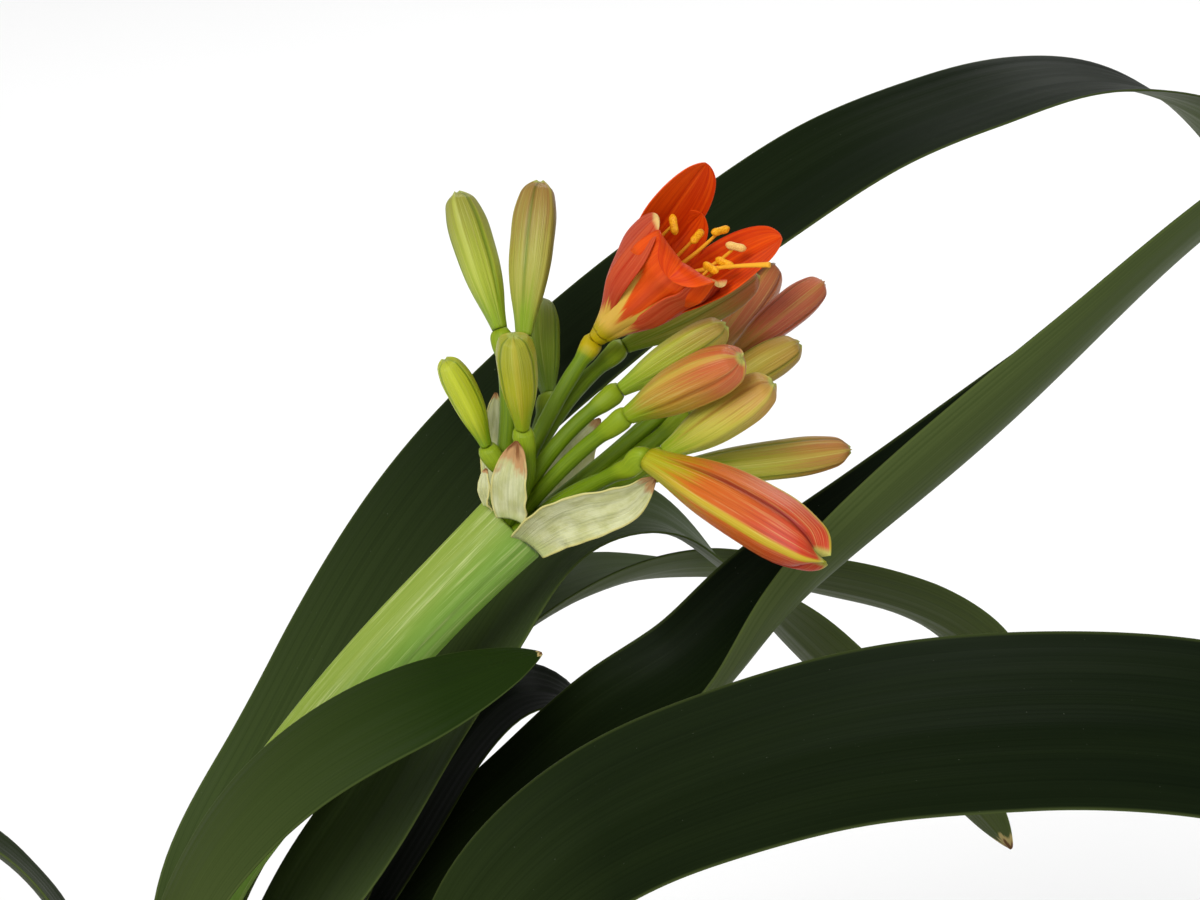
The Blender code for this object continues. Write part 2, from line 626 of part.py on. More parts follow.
FLORETS = [
    ("a", (82, 32, 393), (81, 35, 398), (70, 51, 429), 5.1, 0.0, -17),
    ("b", (87, 33, 391), (87, 36, 396), (91, 54, 431), 5.4, 0.0, 43),
    ("c", (81, 18, 368), (78, 19, 373), (68, 18, 396), 3.9, 0.0, -5),
    ("d", (88, 15, 373), (87, 15, 379), (85, 7, 406), 4.9, 0.0, 0),
    ("e", (92, 36, 376), (93, 40, 379), (91, 63, 397), 4.6, 0.0, 0),
    ("g", (107, 42, 387), (112, 46, 390), (146, 57, 406), 5.0, 0.0, -40),
    ("h", (105, 25, 381), (111, 27, 385), (137, 27, 402), 4.8, 0.0, -30),
    ("i", (107, 18, 377), (113, 17, 382), (140, 1, 402), 6.2, 0.0, -30),
    ("j", (132, 59, 380), (135, 64, 382), (152, 86, 399), 4.6, 0.0, -20),
    ("k", (136, 42, 386), (140, 44, 389), (163, 59, 403), 4.7, 0.0, 0),
    ("l", (123, 31, 373), (128, 32, 377), (156, 40, 393), 4.9, 0.0, -15),
    ("m", (117, 15, 369), (122, 14, 373), (148, 9, 393), 5.7, 0.0, 30),
    ("n", (116, 22, 365), (122, 23, 365), (169, 33, 367), 5.0, 0.0, 0),
    ("o", (110.5, 6, 371), (117.5, 0.5, 376.5), (158, -30, 363), 7.8, 1.6, 27),
]
FLOWER_OVARY = ((102, 35, 391), (105, 37, 395))

FLOWER_AXIS = unit((0.623, -0.264, 0.737))
FLOWER_UP = np.array([-0.695, 0.246, 0.676])
FLOWER_UP = unit(FLOWER_UP - FLOWER_AXIS * FLOWER_UP.dot(FLOWER_AXIS))
FLOWER_NEAR = np.cross(FLOWER_AXIS, FLOWER_UP)
FLOWER_BASE = np.asarray(FLOWER_OVARY[1], float) + FLOWER_AXIS * GAP

BRACTS = [
    ("bract_near", (0.05, -0.96, -0.15), 13.5, 30, [
        (88.2, 11.2, 350.3), (94.5, 7, 356.6), (100.4, 4.2, 360.4), (106.5, 2, 363), (112, 1.5, 365),
        (116, 2.6, 367.6), (119.6, 5, 370)]),
    ("bract_upright", (-0.4, -0.9, 0.1), 9.5, 30, [
        (84.3, 10.6, 357), (84.2, 8.5, 364.4), (84.8, 7.5, 371.4), (85.7, 9, 378)]),
    ("bract_left", (-0.35, -0.93, 0.0), 6.5, 20, [
        (81.5, 25.6, 351), (80, 28.4, 361), (79.6, 30.6, 371), (80, 33.5, 382)]),
    ("bract_small", (-0.8, -0.5, 0.0), 4.5, 20, [(78.6, 13.4, 359), (77.6, 12.8, 364), (78, 14, 369)]),
    ("bract_far", (0.2, 0.9, -0.2), 11.0, 35, [
        (93, 29, 351), (96, 37, 356), (100, 43, 363), (106, 48, 370)]),
]
for row in BRACTS:
    bract(*row)

stems = [scape()]
for letter, ovary_start, ovary_end, tip, *_ in FLORETS:
    along = unit(np.subtract(tip, ovary_end))
    stems.append(stem("stem_" + letter, ovary_start, ovary_end, along))
stems.append(stem("stem_flower", *FLOWER_OVARY, FLOWER_AXIS))
fuse("scape", stems, STALK_GREEN)

for letter, _, ovary_end, tip, half_width, open_tip, keel_at in FLORETS:
    along = unit(np.subtract(tip, ovary_end))
    base = np.asarray(ovary_end, float) + along * GAP
    shade = BUD_CORAL if letter in "ijklmno" else BUD_LIME
    bud("bud_" + letter, base, tip, half_width, open_tip, keel_at, shade)

PETALS = [
    ("upper", -40, 50.5, 15.5, 17.5, 0.0, 0.42, 0.0), ("right", -150, 52, 16.5, 21, 0.0, 0.42, 0.0),
    ("front", 98, 38.5, 12.5, 21, 4.5, 0.62, 0.0), ("left", 40, 40, 13, 13.5, 0.0, 0.5, 1.8),
    ("lower", 150, 38.5, 13, 13, 0.9, 0.5, 1.0), ("back", -72, 39, 13, 13, 0.0, 0.42, 0.0),
]
tube_line = [FLOWER_BASE + FLOWER_AXIS * along for along in (0.0, 3.0, 7.0, 11.0)]
petals = [tube("flower_tube", tube_line, (2.2, 3.1, 4.6, 6.0), PETAL_ORANGE, 3)]
for label, degrees, *form in PETALS:
    petals.append(petal("petal_" + label, math.radians(degrees), *form))
fuse("flower", petals, PETAL_ORANGE)

THROAT = 11.0 + GAP
STAMEN_TIPS = [
    (36, 6.5, -3), (37, 0.5, -5.5), (43, -2.5, -5), (44, -8, -3), (41, -9, 1.5), (39, -7.5, 5),
]
hub = [FLOWER_BASE + FLOWER_AXIS * along for along in (THROAT, THROAT + 1.8)]
threads = [tube("stamen_hub", hub, (1.9, 1.7), STAMEN_YELLOW)]
for along, up, near in STAMEN_TIPS:
    side = FLOWER_UP * up + FLOWER_NEAR * near
    start = FLOWER_BASE + FLOWER_AXIS * (THROAT + 0.9) + unit(side) * 0.7
    tip = FLOWER_BASE + FLOWER_AXIS * along + side
    route = [start, start + FLOWER_AXIS * 0.3 * along + side * 0.3, tip - FLOWER_AXIS * 8.0 - side * 0.1, tip]
    threads.append(tube("thread", route, (0.62, 0.6, 0.55, 0.5), STAMEN_YELLOW, 1))
    lean = unit(FLOWER_AXIS * 0.4 + unit(side) * 0.8)
    anther = [tip + lean * step for step in (-2.2, -1.3, 0.0, 1.3, 2.2)]
    threads.append(tube("anther", anther, (0.4, 0.85, 1.0, 0.85, 0.4), STAMEN_YELLOW, 1))
STYLE_ROUTE = [(THROAT + 0.9, 0, 0), (25, -2.0, 0.5), (37, -7, 3.5), (46, -12.5, 6), (52, -17, 7)]
style = [FLOWER_BASE + FLOWER_AXIS * a + FLOWER_UP * b + FLOWER_NEAR * c for a, b, c in STYLE_ROUTE]
threads.append(tube("style", style, (0.7, 0.6, 0.55, 0.5, 0.8), STAMEN_YELLOW, 1))
fuse("stamens", threads, STAMEN_YELLOW)
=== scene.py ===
"""The looks of the potted clivia: finer leaves, stalk, buds, flower, bracts, pot and soil.

Each piece keeps the form of the part that it stands for, from the same named values.
Lengths are in millimetres until a mesh is made.
"""

import math

import bmesh
import bpy
import numpy as np
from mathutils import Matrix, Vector, noise


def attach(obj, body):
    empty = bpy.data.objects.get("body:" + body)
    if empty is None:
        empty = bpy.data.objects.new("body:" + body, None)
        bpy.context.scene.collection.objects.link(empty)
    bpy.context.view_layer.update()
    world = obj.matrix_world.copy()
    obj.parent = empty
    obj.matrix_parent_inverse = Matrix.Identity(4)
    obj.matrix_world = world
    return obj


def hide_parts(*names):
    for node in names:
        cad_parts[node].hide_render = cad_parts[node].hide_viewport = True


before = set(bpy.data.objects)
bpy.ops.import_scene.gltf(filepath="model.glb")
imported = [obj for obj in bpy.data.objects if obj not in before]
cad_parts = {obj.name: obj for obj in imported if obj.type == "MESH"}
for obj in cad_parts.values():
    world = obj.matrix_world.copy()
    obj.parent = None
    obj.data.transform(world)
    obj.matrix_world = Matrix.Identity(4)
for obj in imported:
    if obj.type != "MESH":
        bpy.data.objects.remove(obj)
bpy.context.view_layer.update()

MM = 0.001
GAP = 0.3

# Pot and soil
POT_HEIGHT = 150.0
POT_TOP_R = 86.0
POT_BASE_R = 60.0
POT_WALL = 6.0
POT_FLOOR = 8.0
POT_BAND = 30.0
POT_BAND_STEP = 5.5
POT_EDGE = 2.0
POT_SEGMENTS = 160
POT_CORNER = 1.6
POT_SHARP_ANGLE = 40.0
DRAIN_R = 5.0
DRAIN_RING_R = 32.0
DRAIN_COUNT = 4
DRAIN_SIDES = 32
SOIL_TOP = 139.0
SOIL_HOLE_FLOOR = 131.0
SOIL_LUMPS = 420
SOIL_AROUND = 220
SOIL_RINGS = 72
BARK_BELOW = 0.3
PERLITE_ABOVE = 0.9

# Leaves
LEAF_FOOT = SOIL_HOLE_FLOOR + GAP
SHEATH_FIRST_R = 11.0
SHEATH_PITCH = 3.1
SHEATH_LEAVES_AT = 196.0
SHEATH_STEP_DOWN = 4.0
SHEATH_MAX_HALF_ANGLE = 72.0
LEAF_MIDDLE = 1.5
LEAF_MARGIN = 0.55
LEAF_ACROSS = 45
LEAF_ROW = 3.2
LEAF_TIP_ROWS = 34
TIP_TAPER = 1.5
LEAF_WAISTS = {"leaf_left_1": (0.36, 112.0, 42.0)}
TONE_AT = (0.2, 0.45, 0.9)
# Painted shade on the undersides of leaf_left_1 and leaf_right_5: how far each underside is darkened, at the
# places of TONE_AT
UNDER_PAINTED_SHADE = {"leaf_left_1": (0.0, 0.1, 1.0), "leaf_right_5": (0.1, 0.1, 0.25)}
CHANNEL_DEEP = 0.5
MARGIN_WAVE = 0.7
PLEATS = 9.0
PLEAT_DEEP = 0.05
RELIEF_STARTS_OVER = 60.0
YOUNG_LENGTH = 190.0

# Flower stalk
SCAPE_WIDE = 17.6
SCAPE_THICK = 11.0
SCAPE_SIDES = 96
SCAPE_RINGS = 150
SCAPE_SQUARED = 0.05
SCAPE_ROUTE = [
    (0, -1, LEAF_FOOT), (1, -2, 190), (2, -4, 228), (7, -4, 260), (25, 1, 288),
    (43, 7, 310), (72, 15, 340.5), (84.2, 18, 352),
]
SCAPE_SIZE = [0.76, 0.76, 0.78, 0.88, 0.98, 1.0, 1.0, 1.06]
SCAPE_EDGE = 0.7
SCAPE_RIDGES = ((0.02, 4.35, 0.16), (0.015, 5.3, 0.12))

# Flower stems, ovaries and buds
UMBEL_SEAT = np.array([82.3, 17.5, 350.2])
SEAT_WIDE = np.array([0.717, -0.163, -0.678])
SEAT_DEEP = np.array([0.0, 0.972, -0.233])
SEAT_SPREAD = 0.14
SEAT_WIDE_MAX = 5.2
SEAT_DEEP_MAX = 2.6
STEM_R = 2.0
STEM_SIDES = 22
STEM_RINGS = 46
STEM_POINTS = 9
STEM_BOW = 0.42
OVARY_R = 2.65
OVARY_BULGE = ((-0.12, 0.78), (0.12, 0.9), (0.45, 1.0))
OVARY_NECK = ((0.9, 0.95), (0.0, 0.78))
BUD_AROUND = 84
BUD_RINGS = 64
BUD_TIP_RINGS = 22
BUD_LEVELS = [0.0, 0.1, 0.26, 0.46, 0.64, 0.8, 0.9, 0.965, 1.0]
BUD_SIZES = [0.38, 0.5, 0.75, 0.95, 1.0, 0.96, 0.81, 0.54, 0.17]
BUD_RIB = 0.055
NEAR_SIDE = np.array([0.0, -0.94, 0.34])
SEAM_DEEP = 0.06
KEEL_HIGH = 0.035
SEAM_WIDE = 0.09
KEEL_WIDE = 0.14
BUD_OPENS_AT = 0.78
BUD_SWAY = 0.7

# Petals and bracts
PETAL_THICK = 0.6
PETAL_ACROSS = 37
PETAL_ROWS = 72
PETAL_TIP_ROWS = 34
TUBE_AT = (0.0, 3.0, 7.0, 11.0)
TUBE_RADII = (2.2, 3.1, 4.6, 6.0)
GOLD_BASE = 0.16
GOLD_AT = 0.5
GOLD_WIDE = 0.32
BRACT_THICK = 0.45
BRACT_ACROSS = 31
BRACT_ROWS = 60
BRACT_FOOT = 0.7

# Camera
CAMERA_AT = (0.106, -0.7882, 0.6658)
CAMERA_TILT = 70.0
CAMERA_LENS = 104.2
CAMERA_SENSOR = 36.0
FLOOR_HALF = 9.0

# Lights
WORLD_STRENGTH = 0.42
KEY_STRENGTH = 2.5
KEY_SPREAD = 35.0
KEY_FROM = (-0.6, -1.1, 1.0)
SOFT_AIM = (0.12, 0.05, 0.35)
SOFT_LIGHTS = (
    ("fill", (1.6, -1.4, 1.0), 1.4, 5.0),
    ("rim", (0.7, 1.7, 1.8), 1.1, 14.0),
)


# Curves and surfaces

def unit(vector):
    vector = np.asarray(vector, float)
    return vector / np.linalg.norm(vector)


def spline(knots, values, at):
    """Natural cubic spline through the values, read at the given places."""
    knots = np.asarray(knots, float)
    values = np.asarray(values, float)
    values = values.reshape(len(knots), -1)
    count = len(knots)
    step = np.diff(knots)
    matrix = np.eye(count)
    right = np.zeros_like(values)
    for i in range(1, count - 1):
        matrix[i, i - 1] = step[i - 1]
        matrix[i, i] = 2.0 * (step[i - 1] + step[i])
        matrix[i, i + 1] = step[i]
        rise = (values[i + 1] - values[i]) / step[i]
        fall = (values[i] - values[i - 1]) / step[i - 1]
        right[i] = 6.0 * (rise - fall)
    bend = np.linalg.solve(matrix, right)
    at = np.asarray(at, float)
    span = np.clip(np.searchsorted(knots, at, side="right") - 1, 0, count - 2)
    width = step[span][:, None]
    left = (knots[span + 1] - at)[:, None]
    gone = (at - knots[span])[:, None]
    low, high = values[span], values[span + 1]
    bend_low, bend_high = bend[span], bend[span + 1]
    curve = bend_low * left ** 3 + bend_high * gone ** 3
    line = (low - bend_low * width ** 2 / 6.0) * left + (high - bend_high * width ** 2 / 6.0) * gone
    return curve / (6.0 * width) + line / width


def chord_knots(points):
    points = np.asarray(points, float)[:, :3]
    return np.concatenate([[0.0], np.cumsum(np.linalg.norm(np.diff(points, axis=0), axis=1))])


def smooth_line(points, count=801):
    """A fine smooth line through the points, its direction and its running length."""
    points = np.asarray(points, float)
    knots = chord_knots(points)
    line = spline(knots, points, np.linspace(0.0, knots[-1], count))
    length = chord_knots(line)
    tangent = np.gradient(line[:, :3], length, axis=0)
    tangent /= np.linalg.norm(tangent, axis=1)[:, None]
    return line, tangent, length


def read_line(line, tangent, length, places):
    stations = np.stack([np.interp(places, length, line[:, k]) for k in range(line.shape[1])], axis=1)
    facing = np.stack([np.interp(places, length, tangent[:, k]) for k in range(3)], axis=1)
    return stations, facing / np.linalg.norm(facing, axis=1)[:, None]


def ease(value):
    value = np.clip(value, 0.0, 1.0)
    return value * value * (3.0 - 2.0 * value)


def ripple(x, y, seed):
    """Smooth noise over two lists of numbers, about -1 to 1."""
    shape = np.broadcast(x, y).shape
    x = np.broadcast_to(x, shape).ravel()
    y = np.broadcast_to(y, shape).ravel()
    return np.array([noise.noise(Vector((a, b, seed))) for a, b in zip(x, y)]).reshape(shape)


def turns(count):
    return np.linspace(0.0, math.tau, count, endpoint=False)


def grid_of(shape, *rows):
    """Vectors over a grid, from one value or row for each part."""
    return np.stack([np.broadcast_to(row, shape) for row in rows], axis=2)


def crowd_tip(tip_share, rows, tip_rows, power):
    """Shares of a length from 0 to 1, closer together toward the tip."""
    tip = 1.0 - tip_share * (1.0 - np.linspace(0.0, 1.0, tip_rows)) ** power
    return np.concatenate([np.linspace(0.0, 1.0 - tip_share, rows - tip_rows, endpoint=False), tip])


def ring_faces(count, sides):
    """The quads between like rings of points."""
    row = np.arange(count - 1)[:, None] * sides
    a = (row + np.arange(sides)).ravel()
    b = (row + (np.arange(sides) + 1) % sides).ravel()
    return np.stack([a, b, b + sides, a + sides], axis=1).tolist()


def closed_faces(count, sides):
    """The quads between like rings, with a fan over each end."""
    faces = ring_faces(count, sides)
    first, last = count * sides, count * sides + 1
    top = (count - 1) * sides
    for j in range(sides):
        k = (j + 1) % sides
        faces.append([k, j, first])
        faces.append([top + j, top + k, last])
    return faces


def outward_mesh(name, points, faces):
    mesh = bpy.data.meshes.new(name)
    mesh.from_pydata(points, [], faces)
    work = bmesh.new()
    work.from_mesh(mesh)
    bmesh.ops.recalc_face_normals(work, faces=work.faces)
    work.to_mesh(mesh)
    work.free()
    return mesh


def new_object(name, data):
    made = bpy.data.objects.new(name, data)
    bpy.context.scene.collection.objects.link(made)
    return made


class Body:
    """Points, faces and named values of one piece, gathered from closed parts."""

    def __init__(self):
        self.points = []
        self.faces = []
        self.values = {}
        self.grain = []
        self.count = 0

    def add(self, points, faces, grain, **values):
        total = len(points)
        self.points.append(np.asarray(points, float))
        self.faces += [[i + self.count for i in face] for face in faces]
        self.grain.append(np.asarray(grain, float))
        for key, value in values.items():
            value = np.broadcast_to(np.asarray(value, float), (total,))
            self.values.setdefault(key, []).append(value)
        self.count += total

    def rings(self, rings, grain, **values):
        """A closed tube of like rings, with a fan over each end."""
        rings = np.asarray(rings, float)
        count, sides = rings.shape[:2]
        grain = np.asarray(grain, float)
        points = np.concatenate([rings.reshape(-1, 3), rings[:1].mean(axis=1), rings[-1:].mean(axis=1)])
        grain = np.concatenate([grain.reshape(-1, 3), grain[:1].mean(axis=1), grain[-1:].mean(axis=1)])
        spread = {}
        for key, value in values.items():
            value = np.broadcast_to(np.asarray(value, float), (count, sides))
            spread[key] = np.concatenate([value.ravel(), [value[0].mean(), value[-1].mean()]])
        self.add(points, closed_faces(count, sides), grain, **spread)

    def strip(self, grid, relief, thick, grain, **values):
        """A thin closed strip with rounded margins, raised by the relief over a grid."""
        middle, normal, edge = grid
        middle = middle + normal * relief[..., None]
        rows, across = middle.shape[:2]
        half = 0.5 * thick[..., None] * normal
        upper, under = middle + half, middle - half
        left = middle[:, :1] - 0.42 * thick[:, :1, None] * edge[:, :1]
        right = middle[:, -1:] + 0.42 * thick[:, -1:, None] * edge[:, -1:]
        rings = np.concatenate([upper, right, under[:, ::-1], left], axis=1)
        sides = 2 * across + 2

        def wrap(value):
            return np.concatenate([value, value[:, -1:], value[:, ::-1], value[:, :1]], axis=1)

        grain = wrap(grain)
        side = np.concatenate([np.ones((rows, across)), np.full((rows, 1), 0.5),
                               np.zeros((rows, across)), np.full((rows, 1), 0.5)], axis=1)
        faces = ring_faces(rows, sides)
        for base, flip in ((0, True), ((rows - 1) * sides, False)):
            for j in range(across - 1):
                quad = [base + j, base + j + 1, base + 2 * across - j - 1, base + 2 * across - j]
                faces.append(quad[::-1] if flip else quad)
            for tri in ([base + across - 1, base + across, base + across + 1],
                        [base + 2 * across, base + 2 * across + 1, base]):
                faces.append(tri[::-1] if flip else tri)
        spread = {"side": side.ravel()}
        for key, value in values.items():
            value = np.broadcast_to(np.asarray(value, float), (rows, across))
            spread[key] = wrap(value).ravel()
        self.add(rings.reshape(-1, 3), faces, grain.reshape(-1, 3), **spread)

    def mesh(self, name):
        mesh = outward_mesh(name, (np.concatenate(self.points) * MM).tolist(), self.faces)
        mesh.polygons.foreach_set("use_smooth", [True] * len(mesh.polygons))
        grain = mesh.attributes.new("grain", "FLOAT_VECTOR", "POINT")
        grain.data.foreach_set("vector", np.concatenate(self.grain).astype(np.float32).ravel())
        for key, parts in self.values.items():
            layer = mesh.attributes.new(key, "FLOAT", "POINT")
            layer.data.foreach_set("value", np.concatenate(parts).astype(np.float32))
        return mesh


def strip_grid(stations, facing, levels, half, angle, v):
    """Middle points, normals and edgeways directions of a bent strip."""
    flat = levels - (levels * facing).sum(axis=1)[:, None] * facing
    flat /= np.linalg.norm(flat, axis=1)[:, None]
    up = np.cross(facing, flat)
    roll = np.radians(stations[:, 3])[:, None]
    lateral = np.cos(roll) * flat + np.sin(roll) * up
    inner = np.cross(facing, lateral)
    bow = (angle[:, None] * v[None, :])[..., None]
    bend_r = (half / angle)[:, None, None]
    inner, lateral = inner[:, None, :], lateral[:, None, :]
    middle = stations[:, None, :3] + inner * bend_r * (1.0 - np.cos(bow)) + lateral * bend_r * np.sin(bow)
    normal = inner * np.cos(bow) - lateral * np.sin(bow)
    edge = inner * np.sin(bow) + lateral * np.cos(bow)
    return middle, normal, edge


def across_places(count):
    even = np.linspace(-1.0, 1.0, count)
    return 0.5 * even + 0.5 * np.sin(0.5 * math.pi * even)


def add_piece(name, mesh, material, node):
    piece = new_object(name, mesh)
    mesh.materials.append(material)
    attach(piece, "root")
    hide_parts(node)
    return piece


# Materials

class Look:
    """One material and the nodes that colour it."""

    def __init__(self, name, rough, specular=0.5):
        self.material = bpy.data.materials.new(name)
        self.material.use_nodes = True
        self.tree = self.material.node_tree
        self.shader = self.tree.nodes["Principled BSDF"]
        self.put("Roughness", rough)
        self.put("Specular IOR Level", specular)

    def put(self, key, value):
        socket = self.shader.inputs[key]
        if isinstance(value, bpy.types.NodeSocket):
            self.tree.links.new(value, socket)
        else:
            socket.default_value = value

    def node(self, kind, inputs, **settings):
        made = self.tree.nodes.new(kind)
        for key, value in settings.items():
            setattr(made, key, value)
        for key, value in inputs.items():
            socket = made.inputs[key]
            if isinstance(value, bpy.types.NodeSocket):
                self.tree.links.new(value, socket)
            elif socket.type == "RGBA" and len(value) == 3:
                socket.default_value = (*value, 1.0)
            else:
                socket.default_value = value
        return made

    def value(self, name):
        return self.node("ShaderNodeAttribute", {}, attribute_name=name).outputs["Fac"]

    def grain(self, x, y, z):
        vector = self.node("ShaderNodeAttribute", {}, attribute_name="grain").outputs["Vector"]
        scaled = self.node("ShaderNodeVectorMath", {0: vector, 1: (x, y, z)}, operation="MULTIPLY")
        return scaled.outputs["Vector"]

    def place(self):
        return self.node("ShaderNodeTexCoord", {}).outputs["Object"]

    def cloud(self, vector, scale, detail=3.0, rough=0.55):
        made = self.node("ShaderNodeTexNoise",
                         {"Vector": vector, "Scale": scale, "Detail": detail, "Roughness": rough})
        return made.outputs["Fac"]

    def ramp(self, value, low, high, start=0.0, end=1.0):
        made = self.node("ShaderNodeMapRange", {0: value, 1: low, 2: high, 3: start, 4: end},
                         interpolation_type="SMOOTHSTEP")
        return made.outputs[0]

    def fibre(self, x, y, z, detail=3.0, rough=0.55):
        """Noise stretched along the grain of the piece."""
        return self.cloud(self.grain(x, y, z), 1.0, detail, rough)

    def speckle(self, scale, detail=3.0, rough=0.55):
        """Noise fixed to the place of the piece."""
        return self.cloud(self.place(), scale, detail, rough)

    def maths(self, operation, a, b):
        return self.node("ShaderNodeMath", {0: a, 1: b}, operation=operation).outputs[0]

    def plus(self, a, b):
        return self.maths("ADD", a, b)

    def times(self, a, b):
        return self.maths("MULTIPLY", a, b)

    def mix(self, factor, a, b, kind="MIX"):
        made = self.node("ShaderNodeMix", {0: factor, 6: a, 7: b}, data_type="RGBA", blend_type=kind)
        return made.outputs[2]

    def glow(self, weight, radius):
        self.put("Subsurface Weight", weight)
        self.put("Subsurface Radius", radius)

    def bump(self, height, distance, strength=1.0):
        made = self.node("ShaderNodeBump", {"Height": height, "Distance": distance, "Strength": strength})
        self.put("Normal", made.outputs["Normal"])


def leaf_look():
    look = Look("leaf_look", 0.45, 0.03)
    tone = look.value("tone")
    along = look.value("reach")
    side = look.value("side")
    wide = look.fibre(2.2, 1.0, 0.7, 3.0)
    vein = look.fibre(30.0, 1.0, 0.25, 3.0, 0.6)
    fine = look.fibre(90.0, 1.0, 0.5, 2.0)
    upper = look.mix(look.plus(tone, look.times(look.ramp(wide, 0.35, 0.7), 0.02)),
                     (0.0030, 0.0064, 0.0020), (0.100, 0.150, 0.038))
    under = look.mix(wide, (0.055, 0.078, 0.020), (0.080, 0.105, 0.032))
    # Painted shade: the pale underside is darkened toward a near-black green where it lies in shadow
    under = look.mix(look.value("dusk"), under, (0.012, 0.026, 0.003))
    body = look.mix(side, under, upper)
    body = look.mix(look.ramp(vein, 0.38, 0.68, 0.0, 0.5), body, (0.55, 0.60, 0.50), "MULTIPLY")
    body = look.mix(look.ramp(fine, 0.5, 0.75, 0.0, 0.02), body, (0.08, 0.12, 0.04))
    young = look.mix(side, (0.34, 0.42, 0.10), (0.16, 0.26, 0.03))
    body = look.mix(look.ramp(along, 0.02, 0.5), young, body)
    across = look.node("ShaderNodeSeparateXYZ", {0: look.grain(1.0, 1.0, 1.0)}).outputs[0]
    margin = look.ramp(look.maths("ABSOLUTE", across, 0.0), 0.965, 1.0, 0.0, 0.22)
    body = look.mix(margin, body, (0.12, 0.16, 0.04))
    speck = look.ramp(look.speckle(1500.0, 1.0), 0.80, 0.83, 0.0, 0.3)
    body = look.mix(look.times(speck, side), body, (0.22, 0.24, 0.18))
    dry = look.plus(look.value("dry"), look.ramp(wide, 0.3, 0.7, -0.25, 0.25))
    body = look.mix(look.ramp(dry, 0.45, 0.6), body, (0.42, 0.33, 0.13))
    body = look.mix(look.ramp(dry, 0.72, 0.86), body, (0.12, 0.055, 0.022))
    look.put("Base Color", body)
    look.put("Roughness", look.ramp(look.fibre(5.0, 1.0, 1.2), 0.3, 0.7, 0.42, 0.52))
    height = look.plus(vein, look.times(fine, 0.3))
    look.bump(height, 0.00012, 0.5)
    return look.material


def scape_look():
    look = Look("scape_look", 0.42, 0.18)
    streak = look.fibre(7.0, 7.0, 0.25, 4.0, 0.62)
    fine = look.fibre(30.0, 30.0, 0.7, 3.0, 0.6)
    stem = look.value("stem")
    # Painted shade: the stalk is coloured yellower on its left side and greener on its right, as the light
    # falls on it from the left
    stalk = look.mix(look.ramp(look.value("shade"), -0.6, 0.5), (0.22, 0.30, 0.040), (0.17, 0.31, 0.045))
    # Painted highlight: fine pale streaks laid into the stalk's colour stand in for its fine glossy highlight
    # streaks
    pale = look.times(look.ramp(streak, 0.46, 0.66), look.ramp(fine, 0.4, 0.62))
    stalk = look.mix(look.times(pale, 0.65), stalk, (0.46, 0.52, 0.20))
    stalk = look.mix(look.ramp(fine, 0.5, 0.3, 0.0, 0.4), stalk, (0.13, 0.24, 0.02))
    pedicel = look.mix(look.ramp(fine, 0.35, 0.65), (0.09, 0.17, 0.002), (0.19, 0.28, 0.008))
    ovary = look.mix(look.ramp(fine, 0.3, 0.7), (0.16, 0.25, 0.004), (0.27, 0.35, 0.012))
    ovary = look.mix(look.value("gold"), ovary, (0.42, 0.32, 0.003))
    green = look.mix(look.value("ovary"), pedicel, ovary)
    body = look.mix(stem, stalk, green)
    look.put("Base Color", body)
    look.glow(0.08, (0.0012, 0.0014, 0.0006))
    look.bump(look.plus(streak, look.times(fine, 0.5)), 0.0002, 0.5)
    return look.material


def bud_look(name, base, middle, tip, keel, blush, seam_tint):
    look = Look(name, 0.38, 0.26)
    along = look.value("reach")
    streak = look.fibre(8.0, 8.0, 0.16, 3.0, 0.6)
    patch = look.fibre(1.0, 1.0, 0.4, 2.0)
    fine = look.fibre(24.0, 24.0, 0.35, 3.0, 0.6)
    drift = look.plus(along, look.ramp(streak, 0.25, 0.75, -0.10, 0.10))
    drift = look.plus(drift, look.ramp(patch, 0.3, 0.7, -0.07, 0.07))
    body = look.mix(look.ramp(drift, 0.02, 0.42), base, middle)
    body = look.mix(look.ramp(drift, 0.38, 0.98), body, tip)
    ridge = look.times(look.ramp(look.value("keel"), 0.15, 0.7), look.ramp(along, 0.03, 0.25))
    body = look.mix(look.times(ridge, blush), body, keel)
    seam = look.times(look.value("seam"), look.ramp(along, 0.1, 0.5, 0.5, 1.0))
    body = look.mix(seam, body, seam_tint, "MULTIPLY")
    body = look.mix(look.ramp(fine, 0.52, 0.70, 0.0, 0.32), body, (0.64, 0.62, 0.22))
    body = look.mix(look.ramp(fine, 0.48, 0.30, 0.0, 0.6), body, (0.62, 0.70, 0.45), "MULTIPLY")
    body = look.mix(look.ramp(along, 0.982, 1.0, 0.0, 0.8), body, (0.40, 0.46, 0.10))
    spot = look.ramp(look.speckle(900.0, 1.0), 0.80, 0.83, 0.0, 0.4)
    body = look.mix(spot, body, (0.13, 0.10, 0.04))
    look.put("Base Color", body)
    look.glow(0.08, (0.0012, 0.001, 0.0004))
    look.bump(look.plus(streak, look.times(fine, 0.8)), 0.00022, 0.8)
    return look.material


